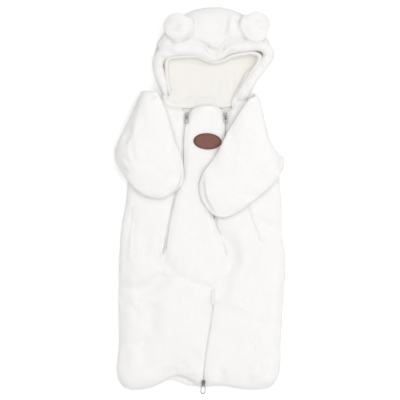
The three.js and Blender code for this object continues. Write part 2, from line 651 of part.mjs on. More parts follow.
// The crown: an arched layer from the hood's top edge down to the brim, open beneath.
{
  const count = 26;
  const outerLine = hoodOutline.part(hoodOutline.nearest(-89, 311), hoodOutline.nearest(143, 313));
  const brimBack = new Path(Array.from({ length: 401 }, (_, i) => {
    const { x, y, half, out } = brimAt(i / 400);
    return [x + out[0] * (half + 0.9), y + out[1] * (half + 0.9)];
  }));
  const innerLine = brimBack.part(brimBack.nearest(-85, 307), brimBack.nearest(140, 312));
  const crease = Path.through([[52, 374], [48, 340], [44, 306]], 20);
  const flatCrease = Path.through([[-8, 380], [-14, 350], [-12, 318]], 20);
  const brimHeight = (x, y) => {
    let best = { far: Infinity, z: 0 };
    for (let i = 0; i <= 120; i++) {
      const b = brimAt(i / 120);
      const far = Math.hypot(b.x - x, b.y - y);
      if (far < best.far) best = { far, z: b.z };
    }
    return best.z;
  };
  const outerZ = (x, y, d, width, lip) => {
    const rise = (CROWN_TOP - CROWN_FOOT) * quarter(d / CROWN_ROLL);
    const cap = lip + (CROWN_TOP - lip) * quarter((width - d) / 20);
    let z = Math.min(CROWN_FOOT + Math.max(1.5, rise), cap);
    z -= 4 * valley(crease.distance(x, y), 14) * clamp01((z - CROWN_FOOT) / 20);
    z -= 2 * valley(flatCrease.distance(x, y), 18) * clamp01((z - CROWN_FOOT) / 20);
    for (const ear of EARS) {
      const k = Math.hypot(x - ear.x, y - ear.y) / (ear.radius + 1.5);
      if (k < 1) z = Math.min(z, earPlane(ear, x, y) - 0.6 - EAR_THICK * Math.sqrt(1 - k * k));
    }
    return z;
  };
  const outer = [];
  const inner = [];
  const outerSteps = [0, 0.03, 0.09, 0.18, 0.3, 0.45, 0.6, 0.74, 0.86, 0.94, 1];
  const innerSteps = [0, 0.1, 0.25, 0.42, 0.6, 0.8, 1];
  for (let i = 0; i <= count; i++) {
    const u = i / count;
    const [o, n] = [outerLine.at(u), innerLine.at(u)];
    const width = Math.hypot(o[0] - n[0], o[1] - n[1]);
    const foot = Math.min(CROWN_WALL, width * 0.55);
    const lip = brimHeight(...n) + 5;
    const place = (d) => [mix(o[0], n[0], d / width), mix(o[1], n[1], d / width)];
    outer.push(outerSteps.map((k) => {
      const [x, y] = place(k * width);
      return [x, y, outerZ(x, y, k * width, width, lip)];
    }));
    inner.push(innerSteps.map((k) => {
      const d = mix(foot, width, k);
      const [x, y] = place(d);
      const under = outerZ(x, y, d, width, lip) - CROWN_WALL;
      const open = ease((d - foot) / 9) * ease((width - 15) / 12);
      return [x, y, CROWN_FOOT + Math.max(0, under - CROWN_FOOT) * open];
    }));
  }
  const points = [];
  const faces = [];
  const take = (p) => points.push(p) - 1;
  const topIds = outer.map((row) => row.map(take));
  const footIds = outer.map((row) => take([row[0][0], row[0][1], CROWN_FOOT]));
  const underIds = inner.map((row) => row.map(take));
  const around = topIds.map((row, i) => [footIds[i], ...row, ...[...underIds[i]].reverse()]);
  for (let i = 1; i < around.length; i++) strip(faces, around[i - 1], around[i], true);
  fanFill(faces, points, around[0]);
  fanFill(faces, points, around.at(-1), true);
  add('hood_crown', closedGeometry(points, faces), plush);
}

// What a sleeve rests on: the front's smooth form, and a droop past the body's edge.
const bodyLoop = [
  ...outlineLeft.thinned(8).points,
  ...reversed(outlineRight).thinned(8).points,
];
function insideBody(x, y) {
  let inside = false;
  for (let i = 0, j = bodyLoop.length - 1; i < bodyLoop.length; j = i++) {
    const [ax, ay] = bodyLoop[i];
    const [bx, by] = bodyLoop[j];
    if ((ay > y) !== (by > y) && x < ((bx - ax) * (y - ay)) / (by - ay) + ax) inside = !inside;
  }
  return inside;
}
function support(x, y) {
  let best = 0;
  for (let i = 0; i < 9; i++) {
    const r = i ? 7 : 0;
    const px = x + r * Math.cos((i * Math.PI) / 4);
    const py = y + r * Math.sin((i * Math.PI) / 4);
    const z = insideBody(px, py) ? frontSmooth(px, py) : 0;
    best = Math.max(best, z);
  }
  const out = insideBody(x, y) ? 0 : sideEdge.distance(x, y);
  return Math.max(best, FRONT_BASE + 4 - 0.55 * out);
}

// Sleeves: each row is one section across the laid sleeve, from its outer to its inner edge,
// shoulder first: columns outer x, outer y, inner x, inner y, half thickness.
const SLEEVE_LEFT = [
  [-118, 219, -84, 216, 8.5], [-131, 189, -67, 183, 10], [-147, 150, -57, 148, 10.5],
  [-167, 113, -48, 118, 11], [-172, 87, -41, 102, 11], [-157, 53, -36, 90, 11],
  [-129, 19, -33, 80, 10.5], [-102, 4, -32, 70, 10], [-82, 1, -31, 61, 9.5],
  [-66, 5, -31, 53, 8.5], [-59, 9, -31, 48, 6.5],
];
const SLEEVE_RIGHT = [
  [117, 210, 98, 204, 8], [126, 183, 84, 186, 10], [131, 156, 70, 164, 10.5],
  [136, 130, 57, 143, 11], [150, 103, 46, 121, 11], [172, 80, 36, 100, 11],
  [163, 49, 28, 86, 11], [140, 23, 21, 76, 11], [108, -3, 16, 68, 10.5],
  [80, -24, 12, 62, 10.5], [55, -36, 10, 57, 10], [38, -36, 8, 52, 9.5],
  [27, -31, 6, 46, 8.5], [21, -26, 5, 41, 6.5],
];
const SLEEVE_SIDES = 24;
const CAVITY_SIDES = 14;

function sleeveGeometry(rows, stationsCount, cuffFront, cuffBack) {
  const section = (t) => {
    const [ax, ay, bx, by, thick] = [0, 1, 2, 3, 4].map((column) => columnAt(rows, column, t));
    return { a: [ax, ay], b: [bx, by], thick };
  };
  const travel = (t) => {
    const s0 = section(Math.max(0, t - 0.03));
    const s1 = section(Math.max(0.03, t));
    const d = [0, 1].map((k) => (s1.a[k] + s1.b[k] - s0.a[k] - s0.b[k]) / 2);
    const size = Math.hypot(...d);
    return [d[0] / size, d[1] / size];
  };
  const ringAt = (t, sides, wall, slit, front, back) => {
    const { a, b, thick } = section(t);
    const half = Math.hypot(a[0] - b[0], a[1] - b[1]) / 2;
    const way = travel(t);
    return Array.from({ length: sides }, (_, i) => {
      const angle = (i / sides) * 2 * Math.PI;
      const c = Math.cos(angle);
      const s = Math.sin(angle);
      const across = Math.sign(c) * Math.abs(c) ** 0.85 * (1 - wall / half);
      const up = Math.sign(s) * Math.abs(s) ** 0.75;
      const reach = (s > 0 ? front : back) * (1 - across * across);
      const x = (a[0] + b[0]) / 2 + ((a[0] - b[0]) / 2) * across + way[0] * reach;
      const y = (a[1] + b[1]) / 2 + ((a[1] - b[1]) / 2) * across + way[1] * reach;
      const middle = support(x, y) + REST_GAP + 0.5 + 10;
      const tall = slit || thick;
      const drop = slit ? 0 : 10 - thick;
      return [x, y, middle - drop + up * tall];
    });
  };
  const outer = [];
  for (let i = 0; i <= stationsCount; i++) {
    const t = i / stationsCount;
    const last = i === stationsCount;
    outer.push(ringAt(t, SLEEVE_SIDES, 0, 0, last ? cuffFront : 0, last ? cuffBack : 0));
  }
  const cavity = [];
  const depth = Math.round(stationsCount * 0.8);
  for (let i = 0; i <= depth; i++) {
    const t = 1 - i / stationsCount;
    const wall = i ? SLEEVE_WALL : SLEEVE_WALL * 0.6;
    const slit = i ? SLEEVE_SLIT : SLEEVE_SLIT * 2;
    cavity.push(ringAt(t, CAVITY_SIDES, wall, slit, i ? 0 : cuffFront, i ? 0 : cuffBack));
  }
  const points = [];
  const faces = [];
  const ids = outer.map((ring) => ring.map((p) => points.push(p) - 1));
  for (let i = 1; i < ids.length; i++) strip(faces, ids[i - 1], ids[i], true);
  fanFill(faces, points, ids[0]);
  const holes = cavity.map((ring) => ring.map((p) => points.push(p) - 1));
  for (let i = 1; i < holes.length; i++) strip(faces, holes[i - 1], holes[i], true);
  fanFill(faces, points, holes.at(-1), true);
  // The rim of the cuff joins two rings of different counts, walking round both at once.
  const [rim, mouth] = [ids.at(-1), holes[0]];
  let i = 0;
  let j = 0;
  while (i < rim.length || j < mouth.length) {
    const a = rim[i % rim.length];
    const b = mouth[j % mouth.length];
    const forward = (i + 1) / rim.length <= (j + 1) / mouth.length;
    if (i < rim.length && (forward || j >= mouth.length)) {
      faces.push([a, b, rim[(i + 1) % rim.length]]);
      i++;
    } else {
      faces.push([a, b, mouth[(j + 1) % mouth.length]]);
      j++;
    }
  }
  return closedGeometry(points, faces);
}
add('sleeve_left', sleeveGeometry(SLEEVE_LEFT, 17, 1, 8), plush);
add('sleeve_right', sleeveGeometry(SLEEVE_RIGHT, 19, 1, 8), plush);

// Height of the front's faces at a point: the highest within reach of it.
function faceHeight(x, y) {
  let best = -Infinity;
  for (const grid of frontGrids) {
    for (let i = 1; i < grid.length; i++) {
      for (let j = 1; j < grid[i].length; j++) {
        const quad = [grid[i - 1][j - 1], grid[i][j - 1], grid[i][j], grid[i - 1][j]];
        for (const [a, b, c] of [[quad[0], quad[1], quad[2]], [quad[0], quad[2], quad[3]]]) {
          const whole = (b[0] - a[0]) * (c[1] - a[1]) - (c[0] - a[0]) * (b[1] - a[1]);
          if (Math.abs(whole) < 1e-6) continue;
          const f = ((x - a[0]) * (c[1] - a[1]) - (c[0] - a[0]) * (y - a[1])) / whole;
          const g = ((b[0] - a[0]) * (y - a[1]) - (x - a[0]) * (b[1] - a[1])) / whole;
          if (f < -1e-6 || g < -1e-6 || f + g > 1 + 1e-6) continue;
          best = Math.max(best, a[2] + f * (b[2] - a[2]) + g * (c[2] - a[2]));
        }
      }
    }
  }
  return best;
}
function restHeight(x, y, reach) {
  let best = faceHeight(x, y);
  for (let i = 0; i < 8; i++) {
    const a = (i * Math.PI) / 4;
    best = Math.max(best, faceHeight(x + reach * Math.cos(a), y + reach * Math.sin(a)));
  }
  return best;
}

// A strip of cloth laid along a line on the front.
function laidStrip(path, half, thick, count, lift = REST_GAP) {
  const us = [-1, -0.4, 0.4, 1];
  const rows = Array.from({ length: count + 1 }, (_, i) => us.map((u) => {
    const [x, y] = path.at(i / count);
    const [dx, dy] = path.along(i / count);
    return [x - dy * half * u, y + dx * half * u];
  }));
  const under = rows.map((row) => row.map(([x, y]) => [x, y, restHeight(x, y, 3) + lift]));
  const upper = under.map((row) => row.map(([x, y, z], j) => [x, y, z + (j % 3 ? thick : thick * 0.6)]));
  return panelGeometry(upper, 0, under);
}

// The zips' chains run in the slots between the panels.
function chainGeometry(path, count) {
  const us = [-1, 1];
  const rows = Array.from({ length: count + 1 }, (_, i) => us.map((u) => {
    const [x, y] = path.at(i / count);
    const [dx, dy] = path.along(i / count);
    const edges = [-1, 1].map((side) => (
      frontTop(x - dy * (ZIP_HALF + 1) * side, y + dx * (ZIP_HALF + 1) * side)
    ));
    const z = Math.max(FRONT_BASE + CHAIN_THICK + 0.5, Math.min(...edges) - 0.8);
    return [x - dy * CHAIN_HALF * u, y + dx * CHAIN_HALF * u, z];
  }));
  const under = rows.map((row) => row.map(([x, y, z]) => [x, y, z - CHAIN_THICK]));
  return panelGeometry(rows, 0, under);
}
const chainPart = (path, fromTop, fromEnd) => path.part(fromTop / path.length, 1 - fromEnd / path.length);
add('zip_left', chainGeometry(chainPart(leftZip, 17, 14), 26), zipCloth);
add('zip_right', chainGeometry(chainPart(rightZip, 17, 14), 26), zipCloth);
add('zip_centre', chainGeometry(chainPart(centreZip, 9, 17), 18), zipCloth);

// The guard over the top end of the centre zip.
add('zip_guard', laidStrip(centreZip.part(2 / centreZip.length, 32 / centreZip.length), 4, 1.6, 5), plush);

// Slanted pocket welts.
const WELT_RIGHT = [[99, -14], [106, -34], [116, -60], [124, -84]];
const WELT_LEFT = [[-132, -12], [-134, -43], [-138, -75], [-140, -106]];
add('pocket_welt_right', laidStrip(Path.through(WELT_RIGHT, 60), 2.4, 1.8, 7), plushShade);
add('pocket_welt_left', laidStrip(Path.through(WELT_LEFT, 60), 2.4, 1.8, 8), plushShade);

// The oval leather patch on the centre panel.
{
  const centre = [14.8, 117.2];
  const tilt = THREE.MathUtils.degToRad(-3);
  const points = [];
  const faces = [];
  const sides = 32;
  const place = (k, a) => {
    const x = Math.cos(a) * k * PATCH_LENGTH / 2;
    const y = Math.sin(a) * k * PATCH_HEIGHT / 2;
    return [
      centre[0] + x * Math.cos(tilt) - y * Math.sin(tilt),
      centre[1] + x * Math.sin(tilt) + y * Math.cos(tilt),
    ];
  };
  const ringOf = (k, thick) => Array.from({ length: sides }, (_, i) => {
    const [x, y] = place(k, (i / sides) * 2 * Math.PI);
    return points.push([x, y, restHeight(x, y, 3) + REST_GAP + thick]) - 1;
  });
  const rings = [
    ringOf(0.35, 0), ringOf(0.7, 0), ringOf(0.985, 0), ringOf(1, PATCH_THICK * 0.35),
    ringOf(0.985, PATCH_THICK * 0.8), ringOf(0.93, PATCH_THICK), ringOf(0.7, PATCH_THICK), ringOf(0.35, PATCH_THICK),
  ];
  for (let i = 1; i < rings.length; i++) strip(faces, rings[i - 1], rings[i], true);
  fanFill(faces, points, rings[0]);
  fanFill(faces, points, rings.at(-1), true);
  add('patch', closedGeometry(points, faces), leather);
}

// The neck label, on the lining inside the back of the neck.
{
  const label = new THREE.BoxGeometry(40, 15, 0.9);
  label.translate(11, 198.5, LINING_TOP + REST_GAP + 0.45);
  add('neck_label', label, labelCloth);
}

// A three.js geometry as a solid that can be joined, and back.
function solidOf(geometry) {
  const bare = geometry.clone();
  bare.deleteAttribute('normal');
  bare.deleteAttribute('uv');
  const merged = mergeVertices(bare, 1e-4);
  return new wasm.Manifold(new wasm.Mesh({
    numProp: 3,
    vertProperties: new Float32Array(merged.attributes.position.array),
    triVerts: new Uint32Array(merged.index.array),
  }));
}
function geometryOf(solid) {
  const { vertProperties, triVerts } = solid.getMesh();
  const geometry = new THREE.BufferGeometry();
  geometry.setAttribute('position', new THREE.BufferAttribute(vertProperties, 3));
  geometry.setIndex(new THREE.BufferAttribute(triVerts, 1));
  const flat = geometry.toNonIndexed();
  flat.computeVertexNormals();
  return flat;
}

// A slider: a shield-shaped body with a small bridge on top. Its own Y points up the zip.
function sliderGeometry() {
  const w = SLIDER_WIDTH / 2;
  const l = SLIDER_LENGTH / 2;
  const outline = new THREE.Shape();
  outline.moveTo(-w * 0.6, -l);
  outline.lineTo(w * 0.6, -l);
  outline.quadraticCurveTo(w * 0.75, 0, w, l * 0.5);
  outline.quadraticCurveTo(w, l, w * 0.55, l);
  outline.lineTo(0, l * 0.7);
  outline.lineTo(-w * 0.55, l);
  outline.quadraticCurveTo(-w, l, -w, l * 0.5);
  outline.quadraticCurveTo(-w * 0.75, 0, -w * 0.6, -l);
  const body = new THREE.ExtrudeGeometry(outline, {
    depth: SLIDER_THICK - 0.8, bevelEnabled: true, bevelThickness: 0.4, bevelSize: 0.4,
    bevelOffset: -0.4, bevelSegments: 2, curveSegments: 5,
  });
  body.translate(0, 0, 0.4);
  const r = BRIDGE_HOLE + BRIDGE_WALL;
  const arch = new THREE.Shape();
  arch.moveTo(-r, -0.6);
  arch.lineTo(r, -0.6);
  arch.lineTo(r, BRIDGE_HOLE);
  arch.absarc(0, BRIDGE_HOLE, r, 0, Math.PI, false);
  arch.lineTo(-r, -0.6);
  const hole = new THREE.Path();
  hole.moveTo(-BRIDGE_HOLE, 0.1);
  hole.lineTo(-BRIDGE_HOLE, BRIDGE_HOLE);
  hole.absarc(0, BRIDGE_HOLE, BRIDGE_HOLE, Math.PI, 0, true);
  hole.lineTo(BRIDGE_HOLE, 0.1);
  hole.lineTo(-BRIDGE_HOLE, 0.1);
  arch.holes.push(hole);
  const bridge = new THREE.ExtrudeGeometry(arch, { depth: BRIDGE_WIDTH, bevelEnabled: false, curveSegments: 8 });
  bridge.translate(0, 0, -BRIDGE_WIDTH / 2);
  bridge.rotateY(Math.PI / 2);
  bridge.rotateX(Math.PI / 2);
  bridge.translate(0, BRIDGE_AT, SLIDER_THICK);
  return geometryOf(solidOf(body).add(solidOf(bridge)));
}

// A pull: a flat ring that hangs in the bridge. Its hinge is its own X axis at the origin.
function pullGeometry(length, half) {
  const outline = new THREE.Shape();
  outline.moveTo(-2.9, -0.7);
  outline.lineTo(2.9, -0.7);
  outline.lineTo(3.1, 2);
  outline.quadraticCurveTo(half, 5, half, length - half);
  outline.absarc(0, length - half, half, 0, Math.PI, false);
  outline.quadraticCurveTo(-half, 5, -3.1, 2);
  outline.lineTo(-2.9, -0.7);
  const hole = new THREE.Path();
  const rim = 1.3;
  hole.moveTo(-2, 0.7);
  hole.quadraticCurveTo(-half + rim, 5, -half + rim, length - half);
  hole.absarc(0, length - half, half - rim, Math.PI, 0, true);
  hole.quadraticCurveTo(half - rim, 5, 2, 0.7);
  hole.lineTo(-2, 0.7);
  outline.holes.push(hole);
  const plate = new THREE.ExtrudeGeometry(outline, {
    depth: PULL_THICK, bevelEnabled: false, curveSegments: 8,
  });
  plate.translate(0, 0, -PULL_THICK / 2);
  return plate;
}

// Sliders: plan position, heading up the zip in degrees from +Y, tilt towards the hem, how far
// the narrow body sinks between the panels, and the pull's length, half width and steepest dip.
const BRIDGE_AT = -2.4;
const SLIDERS = [
  { side: 'left', x: -25.6, y: 169, turn: -6, tilt: 0, sink: 0.8, pull: 14, half: 4.6, dip: 9 },
  { side: 'right', x: 51, y: 169, turn: 4, tilt: 0, sink: 0.3, pull: 14, half: 4.6, dip: 9 },
  { side: 'hem', x: 6.8, y: -366, turn: -3, tilt: 22, sink: 0, pull: 22, half: 4.8, dip: 12 },
];
for (const s of SLIDERS) {
  const turn = THREE.MathUtils.degToRad(s.turn);
  const tilt = THREE.MathUtils.degToRad(s.tilt);
  let seat = 0;
  for (let i = -2; i <= 2; i++) {
    for (let j = -3; j <= 3; j++) {
      const u = (i / 2) * SLIDER_WIDTH / 2;
      const v = (j / 3) * SLIDER_LENGTH / 2;
      const x = s.x + u * Math.cos(turn) - v * Math.sin(turn);
      const y = s.y + u * Math.sin(turn) + v * Math.cos(turn);
      seat = Math.max(seat, faceHeight(x, y) - v * Math.tan(tilt));
    }
  }
  const frame = new THREE.Group();
  frame.position.set(s.x, s.y, seat + SLIDER_SEAT - s.sink);
  frame.rotation.set(tilt, 0, turn, 'ZYX');
  group.add(frame);
  const slider = add(`slider_${s.side}`, sliderGeometry(), nickel);
  const pull = add(`pull_${s.side}`, pullGeometry(s.pull, s.half), nickel);
  frame.add(slider, pull);
  pull.position.set(0, BRIDGE_AT, SLIDER_THICK + BRIDGE_HOLE);
  pull.rotation.order = 'ZYX';
  pull.rotation.z = Math.PI;
  // The pull drops until its ring meets the cloth.
  for (let dip = s.dip; dip > -25; dip -= 0.5) {
    pull.rotation.x = -THREE.MathUtils.degToRad(dip);
    frame.updateMatrixWorld(true);
    const clear = [3, 6, 9, s.pull].every((y) => [-1, 0, 1].every((k) => {
      const p = pull.localToWorld(new THREE.Vector3(k * s.half, y, -PULL_THICK / 2));
      return p.z > faceHeight(p.x, p.y) + REST_GAP;
    }));
    if (clear) break;
  }
}

export default group;
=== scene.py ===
import math

import bmesh
import bpy
import numpy as np
from mathutils import Matrix, Vector
from mathutils.bvhtree import BVHTree


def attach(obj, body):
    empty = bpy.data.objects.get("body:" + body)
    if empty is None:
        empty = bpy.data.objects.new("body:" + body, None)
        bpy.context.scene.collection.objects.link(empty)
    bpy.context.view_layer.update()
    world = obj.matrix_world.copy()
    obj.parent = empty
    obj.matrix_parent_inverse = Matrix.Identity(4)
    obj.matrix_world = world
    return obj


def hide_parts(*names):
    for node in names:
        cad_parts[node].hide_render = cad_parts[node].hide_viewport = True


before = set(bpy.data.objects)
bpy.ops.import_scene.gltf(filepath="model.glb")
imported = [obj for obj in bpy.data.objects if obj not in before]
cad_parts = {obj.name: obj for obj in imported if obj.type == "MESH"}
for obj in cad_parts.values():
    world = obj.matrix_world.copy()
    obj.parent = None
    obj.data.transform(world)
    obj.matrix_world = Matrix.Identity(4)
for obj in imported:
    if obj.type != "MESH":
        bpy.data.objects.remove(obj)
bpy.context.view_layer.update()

# The setting: the suit lies on its back on a plain white table and is seen from
# straight above. The table and its light are even and soft, as in a catalogue
# picture, with the light a little stronger from the right.
SEEN_WIDTH = 0.8
CAMERA_HEIGHT = 6.0
SHARP_HEIGHT = 0.028
lens = bpy.data.cameras.new("overhead")
lens.sensor_width = 36
lens.lens = 36 * (CAMERA_HEIGHT - SHARP_HEIGHT) / SEEN_WIDTH
lens.clip_end = 50
camera = bpy.data.objects.new("overhead", lens)
camera.location = (0.0, 0.0, CAMERA_HEIGHT)
bpy.context.scene.collection.objects.link(camera)
bpy.context.scene.camera = camera

air = bpy.data.worlds.new("studio_air")
air.use_nodes = True
air.node_tree.nodes["Background"].inputs["Color"].default_value = (1.0, 1.0, 1.0, 1.0)
air.node_tree.nodes["Background"].inputs["Strength"].default_value = 0.66
bpy.context.scene.world = air
bpy.context.scene.view_settings.view_transform = "Standard"


def soft_light(name, place, aim, wide, power):
    data = bpy.data.lights.new(name, "AREA")
    data.shape = "SQUARE"
    data.size = wide
    data.energy = power
    light = bpy.data.objects.new(name, data)
    light.location = place
    light.rotation_mode = "QUATERNION"
    light.rotation_quaternion = (Vector(aim) - Vector(place)).to_track_quat("-Z", "Y")
    bpy.context.scene.collection.objects.link(light)


soft_light("window_right", (1.6, 0.5, 2.2), (0, 0, 0), 1.4, 6)
soft_light("overhead_box", (0.3, 0.1, 2.2), (0, 0, 0), 2.4, 26)

table_white = bpy.data.materials.new("table_white")
table_white.use_nodes = True
table_shader = table_white.node_tree.nodes["Principled BSDF"]
table_shader.inputs["Base Color"].default_value = (0.98, 0.98, 0.98, 1.0)
table_shader.inputs["Roughness"].default_value = 0.9
table_shader.inputs["Specular IOR Level"].default_value = 0.1
table_shader.inputs["Emission Color"].default_value = (1.0, 1.0, 1.0, 1.0)
table_shader.inputs["Emission Strength"].default_value = 0.12

bm = bmesh.new()
bmesh.ops.create_grid(bm, x_segments=1, y_segments=1, size=8.0)
table_mesh = bpy.data.meshes.new("table")
bm.to_mesh(table_mesh)
bm.free()
table = bpy.data.objects.new("table", table_mesh)
table.data.materials.append(table_white)
bpy.context.scene.collection.objects.link(table)


# The back of the body and legs: one layer of white teddy plush with a light padding
# behind it, which lies flat on the table. The plush is a knit with a short curled
# pile, so its surface is fibres that lean towards the hem.
BACK_VOXEL = 0.0040
SUNK_FOR_PILE = 0.0010
HIDDEN_WITHIN = 0.005
PILE_LONG = 0.0017
PILE_WIDE = 0.00055
PILE_ROOT = 0.0004
PILE_DENSITY = 0.48e6
PILE_SPREAD = 0.24
# The root colour is painted shade: the plush is one white, and its fibre roots and the cloth between
# the tufts are darkened as if the pile shadowed them.
PLUSH_ROOT_SHADED = (0.945, 0.937, 0.922)
PLUSH_TIP = (0.972, 0.965, 0.95)


def tone_and_root_shade_group():
    """Pile tone: painted shade darkens the root of each fibre and the bare cloth between the fibres,
    the tips are lighter, and faint blotches vary the tone at random.
    """
    group = bpy.data.node_groups.new("pile_tone", "ShaderNodeTree")
    face = group.interface
    for label in ("Root", "Tip"):
        face.new_socket(label, in_out="INPUT", socket_type="NodeSocketColor")
    for label in ("Blotch", "Blotch size", "Ground"):
        face.new_socket(label, in_out="INPUT", socket_type="NodeSocketFloat")
    face.new_socket("Color", in_out="OUTPUT", socket_type="NodeSocketColor")
    face.new_socket("Height", in_out="OUTPUT", socket_type="NodeSocketFloat")
    nodes, links = group.nodes, group.links
    given, made = nodes.new("NodeGroupInput"), nodes.new("NodeGroupOutput")
    tip = nodes.new("ShaderNodeAttribute")
    tip.attribute_name = "tip"
    grown = nodes.new("ShaderNodeMath")
    grown.operation = "MAXIMUM"
    links.new(tip.outputs["Fac"], grown.inputs[0])
    links.new(given.outputs["Ground"], grown.inputs[1])
    shade = nodes.new("ShaderNodeMix")
    shade.data_type = "RGBA"
    links.new(grown.outputs[0], shade.inputs["Factor"])
    links.new(given.outputs["Root"], shade.inputs["A"])
    links.new(given.outputs["Tip"], shade.inputs["B"])
    place = nodes.new("ShaderNodeTexCoord")
    cloud = nodes.new("ShaderNodeTexNoise")
    cloud.inputs["Detail"].default_value = 2.0
    links.new(place.outputs["Object"], cloud.inputs["Vector"])
    links.new(given.outputs["Blotch size"], cloud.inputs["Scale"])
    centred = nodes.new("ShaderNodeMath")
    centred.operation = "MULTIPLY_ADD"
    centred.inputs[1].default_value = -1.0
    centred.inputs[2].default_value = 1.0
    spot = nodes.new("ShaderNodeMath")
    spot.operation = "MULTIPLY"
    links.new(cloud.outputs["Fac"], spot.inputs[0])
    links.new(given.outputs["Blotch"], spot.inputs[1])
    links.new(spot.outputs[0], centred.inputs[0])
    dimmed = nodes.new("ShaderNodeVectorMath")
    dimmed.operation = "SCALE"
    links.new(shade.outputs["Result"], dimmed.inputs[0])
    links.new(centred.outputs[0], dimmed.inputs["Scale"])
    links.new(dimmed.outputs[0], made.inputs["Color"])
    fibre = nodes.new("ShaderNodeTexNoise")
    fibre.inputs["Scale"].default_value = 1100.0
    fibre.inputs["Detail"].default_value = 2.0
    links.new(place.outputs["Object"], fibre.inputs["Vector"])
    links.new(fibre.outputs["Fac"], made.inputs["Height"])
    return group


PILE_TONE_AND_ROOT_SHADE = tone_and_root_shade_group()


# Root is a painted shade colour for the fibre roots and, where ground is 0, for the cloth between them;
# with ground 1 the cloth takes the tip colour alone.
def soft_finish(name, root, tip, blotch=0.03, blotch_size=45.0, ground=0.0, bump=0.15,
                sheen=0.25):
    finish = bpy.data.materials.new(name)
    finish.use_nodes = True
    nodes, links = finish.node_tree.nodes, finish.node_tree.links
    shader = nodes["Principled BSDF"]
    shader.inputs["Roughness"].default_value = 0.92
    shader.inputs["Specular IOR Level"].default_value = 0.15
    shader.inputs["Sheen Weight"].default_value = sheen
    shader.inputs["Sheen Roughness"].default_value = 0.6
    tone = nodes.new("ShaderNodeGroup")
    tone.node_tree = PILE_TONE_AND_ROOT_SHADE
    tone.inputs["Root"].default_value = (*root, 1.0)
    tone.inputs["Tip"].default_value = (*tip, 1.0)
    tone.inputs["Blotch"].default_value = blotch
    tone.inputs["Blotch size"].default_value = blotch_size
    tone.inputs["Ground"].default_value = ground
    links.new(tone.outputs["Color"], shader.inputs["Base Color"])
    relief = nodes.new("ShaderNodeBump")
    relief.inputs["Strength"].default_value = bump
    relief.inputs["Distance"].default_value = 0.0004
    links.new(tone.outputs["Height"], relief.inputs["Height"])
    links.new(relief.outputs["Normal"], shader.inputs["Normal"])
    return finish


WHITE_PLUSH = soft_finish("white_plush", PLUSH_ROOT_SHADED, PLUSH_TIP)


def put(name, mesh):
    piece = bpy.data.objects.new(name, mesh)
    bpy.context.scene.collection.objects.link(piece)
    return piece


def merged_copy(name, *nodes):
    """The form of solids as a new mesh, with its loose triangles joined."""
    bm = bmesh.new()
    for node in nodes:
        bm.from_mesh(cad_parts[node].data)
    bmesh.ops.remove_doubles(bm, verts=bm.verts, dist=1e-5)
    mesh = bpy.data.meshes.new(name)
    bm.to_mesh(mesh)
    bm.free()
    return put(name, mesh)


def settle(piece):
    """Applies the modifiers, so that the mesh is the final one."""
    shaped = piece.evaluated_get(bpy.context.evaluated_depsgraph_get())
    mesh = bpy.data.meshes.new_from_object(shaped)
    piece.modifiers.clear()
    before, piece.data = piece.data, mesh
    bpy.data.meshes.remove(before)
    mesh.name = piece.name


def points_of(mesh, what="co"):
    values = np.empty(len(mesh.vertices) * 3, np.float32)
    if what == "co":
        mesh.vertices.foreach_get("co", values)
    else:
        mesh.vertex_normals.foreach_get("vector", values)
    return values.reshape(-1, 3).astype(float)


def move_points(mesh, points):
    mesh.vertices.foreach_set("co", points.astype(np.float32).ravel())
    mesh.update()


def swell(mesh, distance):
    move_points(mesh, points_of(mesh) + points_of(mesh, "normal") * distance)


def smooth_line(line, step=0.002):
    """A smooth curve through points given in millimetres."""
    given = np.array(line, float) / 1000
    padded = np.vstack([2 * given[0] - given[1], given, 2 * given[-1] - given[-2]])
    found = []
    for i in range(1, len(padded) - 2):
        a, b, c, d = padded[i - 1:i + 3]
        count = max(2, int(np.linalg.norm(c - b) / step))
        t = np.linspace(0, 1, count, endpoint=False)[:, None]
        found.append(0.5 * (2 * b + (c - a) * t + (2 * a - 5 * b + 4 * c - d) * t ** 2
                            + (3 * b - a - 3 * c + d) * t ** 3))
    return np.vstack([*found, given[-1:]])


def press_folds(piece, folds, facing=1):
    """Soft valleys with low rolls beside them: width and depth in millimetres, and a line."""
    mesh = piece.data
    co, normal = points_of(mesh), points_of(mesh, "normal")
    lift = np.zeros(len(co))
    for width, depth, line in folds:
        curve = smooth_line(line)
        low, high = curve.min(0) - 0.05, curve.max(0) + 0.05
        near = np.nonzero(((co[:, :2] > low) & (co[:, :2] < high)).all(1))[0]
        if not len(near):
            continue
        gap = np.linalg.norm(co[near, None, :2] - curve[None], axis=2)
        best = gap.argmin(1)
        distance = gap[np.arange(len(near)), best] / (width / 1000)
        along = best / max(1, len(curve) - 1)
        fade = np.clip(np.minimum(along, 1 - along) / 0.3, 0, 1)
        fade = fade * fade * (3 - 2 * fade)
        shape = -np.exp(-distance ** 2) + 0.42 * np.exp(-((distance - 1.9) / 0.85) ** 2)
        lift[near] += depth / 1000 * shape * fade
    towards = np.clip(normal[:, 2] * facing / 0.5, 0, 1)
    move_points(mesh, co + normal * (lift * towards)[:, None])


